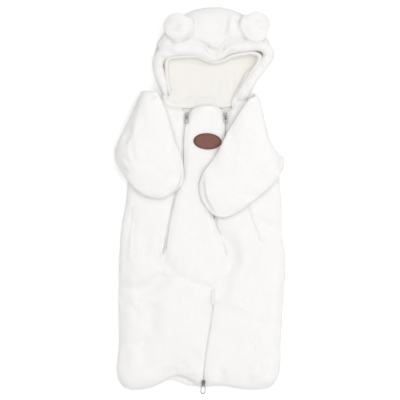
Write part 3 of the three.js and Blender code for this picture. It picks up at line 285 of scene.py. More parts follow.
def hold_seams(piece, nodes, seams):
    """Keeps cloth full up to its seams: half the gap, its closing, a lift and the line, in mm."""
    if not seams:
        return
    mesh = piece.data
    co = points_of(mesh)
    solid = merged_copy("solid_form", *nodes)
    form = BVHTree.FromObject(solid, bpy.context.evaluated_depsgraph_get())
    bpy.data.objects.remove(solid)
    for half, closing, lift, line in seams:
        curve = smooth_line(line)
        low, high = curve.min(0) - 0.02, curve.max(0) + 0.02
        near = np.nonzero(((co[:, :2] > low) & (co[:, :2] < high)).all(1))[0]
        towards = curve[None] - co[near, None, :2]
        gap = np.linalg.norm(towards, axis=2)
        best = gap.argmin(1)
        way, gap = towards[np.arange(len(near)), best], gap.min(1) * 1000
        for k, i in enumerate(near):
            if gap[k] < 9:
                full = min(1.0, (9 - gap[k]) / 4)
                co[i] += (np.array(form.find_nearest(Vector(co[i]))[0]) - co[i]) * full
                pull = closing * max(0.0, 1 - max(0.0, gap[k] - half) / 7) ** 2
                co[i, :2] += way[k] * min(1.2, pull / max(gap[k], 0.1))
                co[i, 2] += lift / 1000 * (1 - (gap[k] / 9) ** 2) ** 2
    move_points(mesh, co)


def cloud(name, size, depth=1):
    pattern = bpy.data.textures.new(name, "CLOUDS")
    pattern.noise_scale = size
    pattern.noise_depth = depth
    return pattern


LUMPS = cloud("padding_lumps", 0.028, 1)


def cloth_form(name, nodes, voxel, soften=8, lumps=0.0012, rolls=()):
    """The soft form of solids: remeshed evenly, smoothed, and a little lumpy."""
    piece = merged_copy(name, *nodes)
    for roll in rolls:
        bm = bmesh.new()
        bm.from_mesh(piece.data)
        bm.from_mesh(roll.data)
        bm.to_mesh(piece.data)
        bm.free()
        bpy.data.objects.remove(roll)
    even = piece.modifiers.new("even", "REMESH")
    even.mode = "VOXEL"
    even.voxel_size = voxel
    even.use_smooth_shade = True
    soft = piece.modifiers.new("soft", "SMOOTH")
    soft.factor = 0.5
    soft.iterations = soften
    if lumps:
        uneven = piece.modifiers.new("lumps", "DISPLACE")
        uneven.texture = LUMPS
        uneven.texture_coords = "LOCAL"
        uneven.strength = lumps
        uneven.mid_level = 0.5
    settle(piece)
    return piece


def other_solids(*nodes):
    """A search tree of every solid but the named ones."""
    corners, triangles = [], []
    for name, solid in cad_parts.items():
        if name in nodes:
            continue
        first = len(corners)
        corners.extend(tuple(v.co) for v in solid.data.vertices)
        triangles.extend([first + i for i in p.vertices] for p in solid.data.polygons)
    return BVHTree.FromPolygons(corners, triangles)


def tuft_mesh():
    """One tuft of pile: a thin closed point with three sides."""
    bm = bmesh.new()
    bmesh.ops.create_cone(bm, cap_ends=True, segments=3, radius1=PILE_WIDE, radius2=0.0,
                          depth=PILE_LONG)
    bmesh.ops.remove_doubles(bm, verts=bm.verts, dist=1e-6)
    bmesh.ops.translate(bm, verts=bm.verts, vec=(0, 0, PILE_LONG / 2 - PILE_ROOT))
    bmesh.ops.recalc_face_normals(bm, faces=bm.faces)
    share = bm.verts.layers.float.new("tip")
    for v in bm.verts:
        # The root keeps most of the painted root shade; the tip takes the lit plush colour.
        v[share] = 1.0 if v.co.z > 0 else 0.15
        v.co.x += 0.35 * PILE_LONG if v.co.z > 0 else 0.0
    mesh = bpy.data.meshes.new("tuft")
    bm.to_mesh(mesh)
    bm.free()
    mesh.shade_smooth()
    return mesh


TUFT = bpy.data.objects.new("tuft_pattern", tuft_mesh())


def pile_tree():
    """Scatters tufts over cloth, each leaning as the cloth's own attribute says."""
    tree = bpy.data.node_groups.new("plush_pile", "GeometryNodeTree")
    sockets = (("Cloth", "NodeSocketGeometry"), ("Tuft", "NodeSocketObject"),
               ("Density", "NodeSocketFloat"), ("Seed", "NodeSocketInt"),
               ("Finish", "NodeSocketMaterial"))
    for label, kind in sockets:
        tree.interface.new_socket(label, in_out="INPUT", socket_type=kind)
    tree.interface.new_socket("Cloth", in_out="OUTPUT", socket_type="NodeSocketGeometry")
    nodes, links = tree.nodes, tree.links
    given, made = nodes.new("NodeGroupInput"), nodes.new("NodeGroupOutput")
    cover = nodes.new("GeometryNodeInputNamedAttribute")
    cover.data_type = "FLOAT"
    cover.inputs["Name"].default_value = "pile"
    thick = nodes.new("ShaderNodeMath")
    thick.operation = "MULTIPLY"
    links.new(cover.outputs["Attribute"], thick.inputs[0])
    links.new(given.outputs["Density"], thick.inputs[1])
    scatter = nodes.new("GeometryNodeDistributePointsOnFaces")
    scatter.distribute_method = "RANDOM"
    links.new(given.outputs["Cloth"], scatter.inputs["Mesh"])
    links.new(thick.outputs[0], scatter.inputs["Density"])
    links.new(given.outputs["Seed"], scatter.inputs["Seed"])
    lay = nodes.new("GeometryNodeInputNamedAttribute")
    lay.data_type = "FLOAT_VECTOR"
    lay.inputs["Name"].default_value = "lay"
    stray = nodes.new("FunctionNodeRandomValue")
    stray.data_type = "FLOAT_VECTOR"
    stray.inputs["Min"].default_value = (-PILE_SPREAD,) * 3
    stray.inputs["Max"].default_value = (PILE_SPREAD,) * 3
    lean = nodes.new("ShaderNodeVectorMath")
    lean.operation = "ADD"
    links.new(lay.outputs["Attribute"], lean.inputs[0])
    links.new(stray.outputs["Value"], lean.inputs[1])
    roll = nodes.new("FunctionNodeRandomValue")
    roll.data_type = "FLOAT_VECTOR"
    roll.inputs["Min"].default_value = (-1, -1, -1)
    roll.inputs["Seed"].default_value = 7
    turn = nodes.new("FunctionNodeAxesToRotation")
    turn.primary_axis = "Z"
    turn.secondary_axis = "X"
    links.new(lean.outputs[0], turn.inputs["Primary Axis"])
    links.new(roll.outputs["Value"], turn.inputs["Secondary Axis"])
    size = nodes.new("FunctionNodeRandomValue")
    size.data_type = "FLOAT"
    size.inputs["Min"].default_value = 0.7
    size.inputs["Max"].default_value = 1.2
    size.inputs["Seed"].default_value = 3
    pattern = nodes.new("GeometryNodeObjectInfo")
    links.new(given.outputs["Tuft"], pattern.inputs["Object"])
    stand = nodes.new("GeometryNodeInstanceOnPoints")
    links.new(scatter.outputs["Points"], stand.inputs["Points"])
    links.new(pattern.outputs["Geometry"], stand.inputs["Instance"])
    links.new(turn.outputs["Rotation"], stand.inputs["Rotation"])
    links.new([o for o in size.outputs if o.enabled][0], stand.inputs["Scale"])
    real = nodes.new("GeometryNodeRealizeInstances")
    links.new(stand.outputs["Instances"], real.inputs["Geometry"])
    both = nodes.new("GeometryNodeJoinGeometry")
    links.new(given.outputs["Cloth"], both.inputs["Geometry"])
    links.new(real.outputs["Geometry"], both.inputs["Geometry"])
    dress = nodes.new("GeometryNodeSetMaterial")
    links.new(both.outputs["Geometry"], dress.inputs["Geometry"])
    links.new(given.outputs["Finish"], dress.inputs["Material"])
    links.new(dress.outputs["Geometry"], made.inputs["Cloth"])
    return tree


PILE = pile_tree()
pile_seed = 11


def grow_pile(piece, nodes, finish, nap=(0, -1, 0), lean=1.3, under=0.2, density=1.0,
              sunk=SUNK_FOR_PILE):
    """Combs the cloth and gives it pile wherever nothing lies against it."""
    global pile_seed
    mesh = piece.data
    co, normal = points_of(mesh), points_of(mesh, "normal")
    others = other_solids(*nodes)
    free = np.ones(len(co), np.float32)
    for i, (point, out) in enumerate(zip(co, normal)):
        way = Vector((0, 0, 1)) if out[2] > 0.25 else Vector(out)
        if others.ray_cast(Vector(point) - way * 0.001, way, HIDDEN_WITHIN)[0] is not None:
            free[i] = 0.0
    co -= normal * (sunk * free)[:, None]
    move_points(mesh, co)
    free *= np.where(normal[:, 2] < -0.35, under, 1.0).astype(np.float32)
    way = np.array(nap, float)
    way = way[None] if way.ndim == 1 else way
    flat = way - normal * (normal * way).sum(1)[:, None]
    lay = normal + lean * flat
    # Where the cloth rests on the table its pile is pressed flat.
    pressed = (co[:, 2] < 0.004) & (normal[:, 2] < -0.3)
    lay[pressed] += (0, 0, 0.75)
    cover = mesh.attributes.new("pile", "FLOAT", "POINT")
    cover.data.foreach_set("value", free)
    comb = mesh.attributes.new("lay", "FLOAT_VECTOR", "POINT")
    comb.data.foreach_set("vector", lay.astype(np.float32).ravel())
    grow = piece.modifiers.new("pile", "NODES")
    grow.node_group = PILE
    values = {"Tuft": TUFT, "Density": PILE_DENSITY * density, "Seed": pile_seed,
              "Finish": finish}
    for item in PILE.interface.items_tree:
        if item.in_out == "INPUT" and item.name in values:
            grow[item.identifier] = values[item.name]
    pile_seed += 1
    settle(piece)
    co = points_of(piece.data)
    co[:, 2] = np.maximum(co[:, 2], 0.0003)
    move_points(piece.data, co)
    for spent in ("pile", "lay"):
        piece.data.attributes.remove(piece.data.attributes[spent])


def draw_over(piece, pulls):
    """Draws cloth aside: the middle, the reach and the move of each pull, in mm. A pull
    upwards is wadding that fills the cloth, so it lifts the upper side alone."""
    co, normal = points_of(piece.data), points_of(piece.data, "normal")
    upper = np.clip(normal[:, 2] / 0.4 + 0.3, 0, 1)
    for middle, reach, move in pulls:
        far = (co[:, :2] * 1000 - middle) / reach
        share = np.exp(-(far ** 2).sum(1))
        if move[2] > 0:
            share = share * upper
        co += share[:, None] * np.array(move) / 1000
    move_points(piece.data, co)


def plush_piece(name, nodes, fill, voxel=0.003, folds=(), under_folds=(), finish=WHITE_PLUSH,
                slot="plush", nap=(0, -1, 0), lean=1.3, under=0.2, density=1.0,
                sunk=SUNK_FOR_PILE, seams=(), pulls=(), over=(), **form):
    nodes = (nodes,) if isinstance(nodes, str) else nodes
    piece = cloth_form(name, nodes, voxel, **form)
    hold_seams(piece, nodes, seams)
    draw_over(piece, pulls)
    press_folds(piece, folds)
    press_folds(piece, under_folds, -1)
    grow_pile(piece, nodes + over, finish, nap, lean, under, density, sunk)
    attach(piece, "suit")
    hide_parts(*nodes)
    print("PIECE", name, len(piece.data.polygons))
    return piece


BACK_FOLDS = (
    (7, 1.2, [(-120, 120), (-60, 108), (10, 112), (80, 104), (120, 118)]),
    (8, 1.4, [(-150, -40), (-90, -62), (-20, -56), (60, -66), (140, -48)]),
    (7, 1.2, [(-140, -150), (-80, -166), (0, -160), (70, -172), (150, -158)]),
    (9, 1.3, [(8, -180), (4, -260), (6, -350)]),
    (7, 1.1, [(-130, -270), (-80, -262), (-30, -282)]),
    (7, 1.1, [(40, -276), (90, -262), (140, -280)]),
)
plush_piece("back_plush", "back_panel", 0.35, BACK_VOXEL, under_folds=BACK_FOLDS)

# The back of the hood: the lower half of the hood, cut from the same plush and lying
# flat on the table. The neck seam joins it to the back.
plush_piece("hood_back_plush", "hood_back", 0.3, under_folds=(
    (7, 1.2, [(-60, 350), (-20, 330), (40, 334), (90, 352)]),
    (7, 1.2, [(-70, 250), (-10, 238), (60, 240), (110, 256)]),
))

# The front: three panels of plush, left, centre and right, which the two long zips
# divide. The outer panels roll round the sides to the back, and each leg has the
# creases of a suit that is laid down loosely.
LEFT_FOLDS = (
    (13, 4.4, [(-60, -130), (-72, -152), (-98, -171), (-124, -183), (-150, -195)]),
    (9, 1.8, [(-70, -60), (-78, -95), (-82, -124)]),
    (7, 1.8, [(-147, 1), (-142, -49), (-150, -99), (-152, -149)]),
    (6, 1.2, [(-130, 1), (-132, -34), (-128, -64)]),
    (8, 1.3, [(-105, -64), (-107, -99), (-120, -129)]),
    (8, 1.8, [(-135, -204), (-127, -229), (-130, -259)]),
    (13, 2.8, [(-90, -194), (-97, -234), (-105, -274)]),
    (12, 1.8, [(-116, -290), (-113, -310), (-120, -332)]),
    (9, 1.2, [(-152, -296), (-128, -288), (-100, -276)]),
    (9, 1.6, [(-130, -344), (-100, -339), (-70, -324)]),
    (9, 1.8, [(-66, -352), (-44, -334), (-16, -312)]),
    (7, 1.2, [(-58, 190), (-50, 165), (-42, 140)]),
)
CENTRE_FOLDS = (
    (9, 0.9, [(-30, 60), (-26, 20), (-34, -20)]),
    (10, 1.2, [(30, 20), (36, -40), (48, -90)]),
    (8, 0.9, [(-22, 186), (-12, 172), (-6, 150)]),
    (7, 0.8, [(36, 176), (30, 160), (32, 144)]),
)
RIGHT_FOLDS = (
    (13, 3.4, [(46, -40), (62, -80), (68, -115), (58, -150), (47, -185), (43, -225)]),
    (5, 1.0, [(78, -200), (92, -212), (106, -214)]),
    (9, 2.0, [(112, -46), (140, -54), (168, -70)]),
    (7, 1.3, [(40, -372), (44, -352), (40, -330)]),
    (7, 1.1, [(100, -378), (96, -352), (104, -330)]),
    (7, 1.0, [(130, -360), (138, -330), (134, -300)]),
    (7, 1.2, [(76, 190), (84, 165), (92, 140)]),
)
CENTRE_SEAM = (2.4, 1.5, 0.3, [(26, -182), (26, -199), (24, -229), (18, -269), (12, -309), (8, -349),
                          (6, -372)])
LEFT_SEAMS = (
    (2.4, 1.6, 0, [(-25, 172), (-31, 153), (-35, 121), (-35.5, 81), (-39, 51), (-46, 25),
                (-56, -15), (-64, -55), (-69, -90), (-74, -112), (-75, -118)]),
    (1.0, 1.8, 0, [(-73, -108), (-76, -124), (-74, -131), (-68, -137), (-48, -149), (-20, -161),
                (4, -170), (26, -178), (26, -184)]),
    CENTRE_SEAM,
)
RIGHT_SEAMS = (
    (2.4, 1.6, 0, [(51, 172), (53, 151), (52, 121), (46, 81), (38, 41), (33, 1), (30.5, -24),
                (32, -44), (38.5, -65), (48, -89), (54, -111), (55.5, -118)]),
    (1.0, 1.8, 0, [(53, -107), (56, -126), (55, -133), (52, -139), (45, -151), (37, -164),
                (26, -178), (26, -184)]),
    CENTRE_SEAM,
)
# The centre panel's plush is brushed over the two short seams at the crotch and over the
# foot of the right zip, so that they don't show.
CENTRE_SEAMS = (
    (2.4, 1.6, 0, LEFT_SEAMS[0][3][:-2]),
    (2.4, 1.6, 0, RIGHT_SEAMS[0][3][:-5]),
)
CROTCH_LEFT = [(-72, -96), (-75, -106), (-77, -118), (-77, -126), (-75, -133), (-69, -141), (-49, -152),
               (-21, -164), (4, -173), (27, -181)]
CROTCH_RIGHT = [(33, -38), (34, -48), (41, -68), (50, -90), (56, -111), (58, -126), (57, -134),
                (54, -142), (47, -153), (39, -166), (27, -181)]
LAPEL_LEFT = [(-74, 208), (-68, 198), (-60, 191), (-46, 187), (-34, 182)]
NECKLINE = [(-18, 178), (-8, 182), (12, 184), (34, 182.5), (44, 178)]
LAPEL_RIGHT = [(86, 208, 21.4), (80, 199, 20.6), (73, 190, 19.7), (64, 183, 18.8)]


def tube(name, line, half, ends=0.5, flat=1.0):
    """A soft tube along points and heights in mm, with its ends drawn in."""
    points = smooth_line(line, 0.003)
    data = bpy.data.curves.new(name, "CURVE")
    data.dimensions = "3D"
    data.bevel_depth = half
    data.bevel_resolution = 3
    data.use_fill_caps = True
    run = data.splines.new("POLY")
    run.points.add(len(points) - 1)
    for i, (spot, point) in enumerate(zip(run.points, points)):
        spot.co = (*point, 1.0)
        from_end = min(i, len(points) - 1 - i) / 3
        spot.radius = min(1.0, ends + (1 - ends) * from_end)
    line = bpy.data.objects.new(name + "_line", data)
    mesh = bpy.data.meshes.new_from_object(line)
    bpy.data.objects.remove(line)
    bpy.data.curves.remove(data)
    bm = bmesh.new()
    bm.from_mesh(mesh)
    bmesh.ops.remove_doubles(bm, verts=bm.verts, dist=1e-6)
    for v in bm.verts:
        level = points[np.linalg.norm(points - np.array(v.co), axis=1).argmin()][2]
        v.co.z = level + (v.co.z - level) * flat
    bmesh.ops.recalc_face_normals(bm, faces=bm.faces)
    bm.to_mesh(mesh)
    bm.free()
    return put(name, mesh)


def soften(piece, voxel, iterations, lumps=0.0):
    even = piece.modifiers.new("even", "REMESH")
    even.mode = "VOXEL"
    even.voxel_size = voxel
    even.use_smooth_shade = True
    soft = piece.modifiers.new("soft", "SMOOTH")
    soft.factor = 0.5
    soft.iterations = iterations
    if lumps:
        uneven = piece.modifiers.new("uneven", "DISPLACE")
        uneven.texture = LUMPS
        uneven.texture_coords = "LOCAL"
        uneven.strength = lumps
        uneven.mid_level = 0.5
    settle(piece)


ALL_SOLIDS = other_solids()


def lie_on(line, above):
    """The line with heights: on whatever lies highest there, so much above it, in mm."""
    laid = []
    for x, y in line:
        found = [ALL_SOLIDS.ray_cast(Vector(((x + dx) / 1000, (y + dy) / 1000, 0.1)),
                                     Vector((0, 0, -1)))[0]
                 for dx, dy in ((0, 0), (-3, 3), (3, 3), (-3, -3), (3, -3), (0, 6), (0, -6))]
        laid.append((x, y, float(np.median([hit.z for hit in found if hit])) * 1000 + above))
    return laid


plush_piece("front_left_plush", "front_left", 0.45, folds=LEFT_FOLDS, seams=LEFT_SEAMS,
            rolls=[tube("lapel_left", lie_on(LAPEL_LEFT, 0.5), 0.0085, flat=0.4)],
            pulls=[((-166, -170), (22, 170), (0, 0, -4.5))])
plush_piece("front_centre_plush", "front_centre", 0.4, folds=CENTRE_FOLDS,
            seams=CENTRE_SEAMS, over=("front_left", "front_right", "zip_left", "zip_right"),
            rolls=[tube("neckline", lie_on(NECKLINE, 0.0), 0.0065, flat=0.55),
                   tube("crotch_left", lie_on(CROTCH_LEFT, -5.0), 0.014, flat=0.36),
                   tube("crotch_right", lie_on(CROTCH_RIGHT, -4.5), 0.014, flat=0.36)])
plush_piece("front_right_plush", "front_right", 0.45, folds=RIGHT_FOLDS, seams=RIGHT_SEAMS,
            rolls=[tube("lapel_right", LAPEL_RIGHT, 0.0105, flat=0.5)],
            pulls=[((166, -200), (20, 150), (0, 0, -3)), ((47, -88), (11, 28), (0, 0, -1.0))])

# The lining of the hood: cream cotton jersey, a shallow bag that lies loose on the back
# of the hood and rises all round to the seam under the brim, where it shows as a soft
# lip. A few creases run towards the neck.
LINING_TOP = (0.84, 0.82, 0.785)
LINING_FOLDS = (
    (5, 1.6, [(-36, 200), (-20, 212), (2, 219)]),
    (5, 1.3, [(64, 196), (66, 236), (62, 272)]),
    (4, 1.0, [(-50, 268), (-20, 272), (16, 268)]),
    (7, 1.6, [(-62, 250), (-58, 225), (-48, 205)]),
    (8, 1.4, [(-16, 224), (-28, 208), (-32, 192)]),
    (5, 1.0, [(20, 205), (34, 222), (40, 246)]),
)
cream_jersey = soft_finish("cream_jersey", LINING_TOP, LINING_TOP, 0.03, 30.0, 1.0, 0.3)
NECK_EDGE = [(-68, 199), (-56, 192), (-40, 188.5), (-20, 187), (12, 189), (40, 188), (58, 190),
             (72, 196), (82, 204)]
LINING_RIM = [(-60, 210, 19), (-63, 228, 21), (-66, 245, 22), (-67, 262, 22), (-67, 274, 25),
              (-62, 284, 28), (-44, 286, 30.5), (-22, 288, 31), (-4, 287, 30), (10, 281, 28),
              (26, 276, 25), (46, 279, 25), (62, 287, 29), (84, 291.5, 31), (104, 294, 30),
              (119, 288, 29), (116, 274, 26), (105, 258, 23), (94, 240, 23), (84, 224, 22),
              (75, 208, 20)]
lining = cloth_form("hood_lining_cloth", ("hood_lining",), 0.0018, soften=4, lumps=0.0008,
                    rolls=[tube("neck_edge", lie_on(NECK_EDGE, 0.3), 0.005, flat=0.5),
                           tube("rim_foot", [(x, y, 19) for x, y, z in LINING_RIM], 0.005,
                                flat=1.4),
                           tube("rim_top", LINING_RIM, 0.005, flat=2.2)])
press_folds(lining, LINING_FOLDS)
lining.data.materials.clear()
lining.data.materials.append(cream_jersey)
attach(lining, "suit")
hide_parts("hood_lining")
print("PIECE", lining.name, len(lining.data.polygons))

# The hood's front: the crown, which falls forward over the opening and shows its
# outside, the brim, a tube of plush stuffed with wadding with a dip in the middle where
# the centre seam pulls it in, and two stuffed ears, all sewn from one plush.
HOOD_FOLDS = (
    (5, 2.8, [(53, 378), (51, 350), (46, 320)]),
    (8, 1.2, [(-8, 378), (-14, 350), (-12, 322)]),
    (6, 1.2, [(74, 368), (70, 346), (62, 326)]),
    (4, 3.0, [(8, 312), (16, 300), (26, 290), (36, 282)]),
    (4, 2.0, [(70, 300), (60, 294), (50, 288)]),
    (5, 1.6, [(-76, 300), (-60, 296), (-48, 290)]),
    (6, 1.4, [(96, 320), (104, 306), (108, 296)]),
    (5, 1.5, [(-70, 270), (-78, 262), (-90, 262)]),
    (6, 1.2, [(118, 274), (124, 262), (132, 258)]),
    (4, 2.0, [(112, 360), (120, 352), (122, 340)]),
    (6, 1.2, [(-64, 352), (-52, 345), (-38, 349)]),
)
BRIM_INNER = [(104, 262, 22), (96, 247, 21.5), (87, 231, 21), (80, 217, 20.5), (74, 205, 20),
              (69, 194, 19.5), (64, 185, 19)]
EAR_ROOTS = ([(-60, 324, 48), (-46, 320, 50), (-30, 327, 51), (-20, 340, 52), (-19, 354, 52),
              (-24, 366, 50)],
             [(134, 332, 46), (120, 321, 49), (104, 321, 50), (92, 331, 50), (86, 344, 51),
              (87, 358, 51), (92, 368, 49)])
# The hood's finish is a shaded copy of the same white plush, 1.8 % darker all over: painted shade over
# the whole hood.
HOOD_ROOT_SHADED = tuple(c * 0.982 for c in PLUSH_ROOT_SHADED)
HOOD_TIP_SHADED = tuple(c * 0.982 for c in PLUSH_TIP)
shaded_plush = soft_finish("hood_plush_finish", HOOD_ROOT_SHADED, HOOD_TIP_SHADED)
plush_piece("hood_plush", ("hood_crown", "hood_brim", "ear_left", "ear_right"), 0.6, 0.0025,
            folds=HOOD_FOLDS, finish=shaded_plush, soften=7, sunk=0.0008,
            pulls=[((20, 300), (38, 28), (16, 0, 0)), ((-74, 354), (20, 24), (0, 0, -8)),
                   ((140, 358), (20, 24), (0, 0, -8)), ((-76, 328), (16, 22), (0, 0, 6))],
            rolls=[tube("brim_inner", BRIM_INNER, 0.0085, flat=0.6),
                   tube("ear_root_left", EAR_ROOTS[0], 0.0075),
                   tube("ear_root_right", EAR_ROOTS[1], 0.0075)])

# The sleeves: padded plush laid across the front. Each ends in a closed mitten whose
# mouth is a slit, with the under side of the cuff a little longer than the upper.
SLEEVE_LEFT_FOLDS = (
    (3, 3.5, [(-101, 208), (-94, 205), (-87, 207)]),
    (3, 2.2, [(-52, 74), (-54.5, 60), (-51, 46)]),
    (3.2, 3.0, [(-66, 4), (-52, 11), (-42, 22), (-36, 36), (-34, 54), (-38, 70)]),
    (6, 1.0, [(-118, 190), (-112, 160), (-118, 130)]),
    (7, 1.0, [(-140, 80), (-118, 74), (-96, 80)]),
    (6, 0.9, [(-90, 62), (-76, 50), (-70, 34)]),
    (5, 0.8, [(-60, 130), (-66, 104), (-62, 84)]),
)
SLEEVE_RIGHT_FOLDS = (
    (2.8, 2.0, [(7, 56), (5, 40), (6.5, 20), (11, 2), (19, -14), (29, -27), (42, -35)]),
    (6, 0.8, [(110, 184), (104, 160), (96, 140)]),
    (7, 0.9, [(140, 84), (116, 70), (90, 72)]),
    (6, 0.8, [(60, 100), (64, 76), (56, 56)]),
)
plush_piece("sleeve_left_plush", "sleeve_left", 0.5, 0.0025, folds=SLEEVE_LEFT_FOLDS,
            pulls=[((-158, 104), (16, 40), (0, 0, 13)), ((-140, 160), (13, 34), (0, 0, 7)),
                   ((-46, 125), (12, 34), (0, 0, -4)), ((-34, 66), (12, 30), (0, 0, -4)),
                   ((-48, 14), (20, 12), (0, 0, -3)), ((-92, 2), (26, 9), (0, 0, -3))])
plush_piece("sleeve_right_plush", "sleeve_right", 0.5, 0.0025, folds=SLEEVE_RIGHT_FOLDS,
            pulls=[((5, 25), (28, 45), (-6.5, 0, 0)), ((62, 134), (13, 30), (0, 0, -4)),
                   ((26, 80), (13, 28), (0, 0, -4)), ((2, 30), (12, 26), (0, 0, -4)),
                   ((18, -14), (16, 16), (0, 0, -3)), ((60, -24), (26, 10), (0, 0, -3)),
                   ((112, 8), (26, 10), (0, 0, -3))])

# The zips: a white nylon coil between the panels. Each is a core cord with the
# coil's turns over it, sewn to tapes that lie under the plush.
TOOTH_PITCH = 0.0015
TOOTH_SIZE = (0.00052, 0.0016, 0.00055)
CORE_DROP = 0.0002
ZIP_LINES = {
    "left": [(-25, 172), (-31, 153), (-35, 121), (-35.5, 81), (-39, 51), (-46, 25),
             (-56, -15), (-64, -55), (-69, -90), (-74, -112)],
    "right": [(51, 172), (53, 151), (52, 121), (46, 81), (38, 41), (33, 1), (30.5, -24),
              (32, -44), (38.5, -65), (48, -89), (54, -111)],
    "centre": [(26, -187), (26, -199), (24, -229), (18, -269), (12, -309), (8, -349),
               (7, -359)],
}
zip_white = soft_finish("zip_white", (0.80, 0.795, 0.78), (0.80, 0.795, 0.78), 0.02, 60.0,
                        1.0, 0.1, 0.0)
for side, line in ZIP_LINES.items():
    node = f"zip_{side}"
    chain = merged_copy(f"zip_{side}_coil", node)
    core = points_of(chain.data)
    low, high = core[:, 1].min(), core[:, 1].max()
    bm = bmesh.new()
    bm.from_mesh(chain.data)
    bmesh.ops.translate(bm, verts=bm.verts, vec=(0, 0, -CORE_DROP))
    path = smooth_line(line, 0.0003)
    walked = np.concatenate([[0], np.cumsum(np.linalg.norm(np.diff(path, axis=0), axis=1))])
    for i, at in enumerate(np.arange(0, walked[-1], TOOTH_PITCH)):
        k = min(len(path) - 2, int(np.searchsorted(walked, at)))
        x, y = path[k]
        if not low < y < high:
            continue
        near = np.linalg.norm(core[:, :2] - path[k], axis=1) < 0.009
        if not near.any():
            continue
        z = core[near, 2].max() - CORE_DROP
        heading = math.atan2(path[k + 1][1] - y, path[k + 1][0] - x)
        spot = Matrix.Translation((x, y, z)) @ Matrix.Rotation(heading, 4, "Z")
        spot = spot @ Matrix.Rotation(0.22 if i % 2 else -0.22, 4, "Z")
        spot = spot @ Matrix.Diagonal((*TOOTH_SIZE, 1.0))
        bmesh.ops.create_uvsphere(bm, u_segments=6, v_segments=4, radius=1, matrix=spot)
    bm.to_mesh(chain.data)
    bm.free()
    chain.data.shade_smooth()
    chain.data.materials.clear()
    chain.data.materials.append(zip_white)
    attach(chain, "suit")
    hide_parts(node)

# The small strips: the welts of the two slanted pockets and the guard over the top of
# the centre zip. They are smooth knit cloth, folded and sewn down flat.
strip_cloth = soft_finish("strip_cloth", (0.85, 0.845, 0.83), (0.85, 0.845, 0.83), 0.02, 60.0,
                          1.0, 0.2, 0.1)
woven_tape = soft_finish("woven_tape", (0.80, 0.795, 0.78), (0.80, 0.795, 0.78), 0.02, 60.0,
                         1.0, 0.2, 0.1)
STRIPS = {"pocket_welt_left": (0.0031, strip_cloth), "pocket_welt_right": (0.0005, strip_cloth),
          "zip_guard": (0.0006, woven_tape)}
for node, (sewn_in, finish) in STRIPS.items():
    strip = merged_copy(node + "_cloth", node)
    soften(strip, 0.0007, 3)
    move_points(strip.data, points_of(strip.data) - (0, 0, sewn_in))
    strip.data.materials.append(finish)
    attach(strip, "suit")
    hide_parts(node)

# The patch: an oval of brown leather, skived thin, burnished darker at its edge and
# sewn on to the chest all round. Its face is plain.
PATCH_MIDDLE = (0.0148, 0.1172)
PATCH_TURN = math.radians(-3)
PATCH_HALF = (0.0282, 0.0165)
LEATHER = (0.205, 0.082, 0.062)
LEATHER_EDGE = (0.13, 0.055, 0.042)


def leather_finish():
    finish = bpy.data.materials.new("brown_leather")
    finish.use_nodes = True
    nodes, links = finish.node_tree.nodes, finish.node_tree.links
    shader = nodes["Principled BSDF"]
    shader.inputs["Specular IOR Level"].default_value = 0.3
    place = nodes.new("ShaderNodeTexCoord")
    centred = nodes.new("ShaderNodeMapping")
    centred.vector_type = "TEXTURE"
    centred.inputs["Location"].default_value = (*PATCH_MIDDLE, 0.0336)
    centred.inputs["Rotation"].default_value = (0, 0, PATCH_TURN)
    centred.inputs["Scale"].default_value = (*PATCH_HALF, 1.0)
    links.new(place.outputs["Object"], centred.inputs["Vector"])
    far = nodes.new("ShaderNodeVectorMath")
    far.operation = "LENGTH"
    links.new(centred.outputs[0], far.inputs[0])
    rim = nodes.new("ShaderNodeMapRange")
    rim.inputs["From Min"].default_value = 0.78
    rim.inputs["From Max"].default_value = 1.0
    links.new(far.outputs["Value"], rim.inputs["Value"])
    mottle = nodes.new("ShaderNodeTexNoise")
    mottle.inputs["Scale"].default_value = 260.0
    mottle.inputs["Detail"].default_value = 4.0
    links.new(place.outputs["Object"], mottle.inputs["Vector"])
    worn = nodes.new("ShaderNodeMapRange")
    worn.inputs["From Min"].default_value = 0.3
    worn.inputs["From Max"].default_value = 0.7
    worn.inputs["To Min"].default_value = 0.82
    worn.inputs["To Max"].default_value = 1.15
    links.new(mottle.outputs["Fac"], worn.inputs["Value"])
    blend = nodes.new("ShaderNodeMix")
    blend.data_type = "RGBA"
    blend.inputs["A"].default_value = (*LEATHER, 1)
    blend.inputs["B"].default_value = (*LEATHER_EDGE, 1)
    links.new(rim.outputs["Result"], blend.inputs["Factor"])
    dyed = nodes.new("ShaderNodeVectorMath")
    dyed.operation = "SCALE"
    links.new(blend.outputs["Result"], dyed.inputs[0])
    links.new(worn.outputs["Result"], dyed.inputs["Scale"])
    links.new(dyed.outputs[0], shader.inputs["Base Color"])
    grain = nodes.new("ShaderNodeTexVoronoi")
    grain.feature = "DISTANCE_TO_EDGE"
    grain.inputs["Scale"].default_value = 1500.0
    links.new(place.outputs["Object"], grain.inputs["Vector"])
    rough = nodes.new("ShaderNodeMapRange")
    rough.inputs["To Min"].default_value = 0.5
    rough.inputs["To Max"].default_value = 0.68
    links.new(mottle.outputs["Fac"], rough.inputs["Value"])
    links.new(rough.outputs["Result"], shader.inputs["Roughness"])
    relief = nodes.new("ShaderNodeBump")
    relief.inputs["Strength"].default_value = 0.35
    relief.inputs["Distance"].default_value = 0.0002
    links.new(grain.outputs["Distance"], relief.inputs["Height"])
    links.new(relief.outputs["Normal"], shader.inputs["Normal"])
    return finish


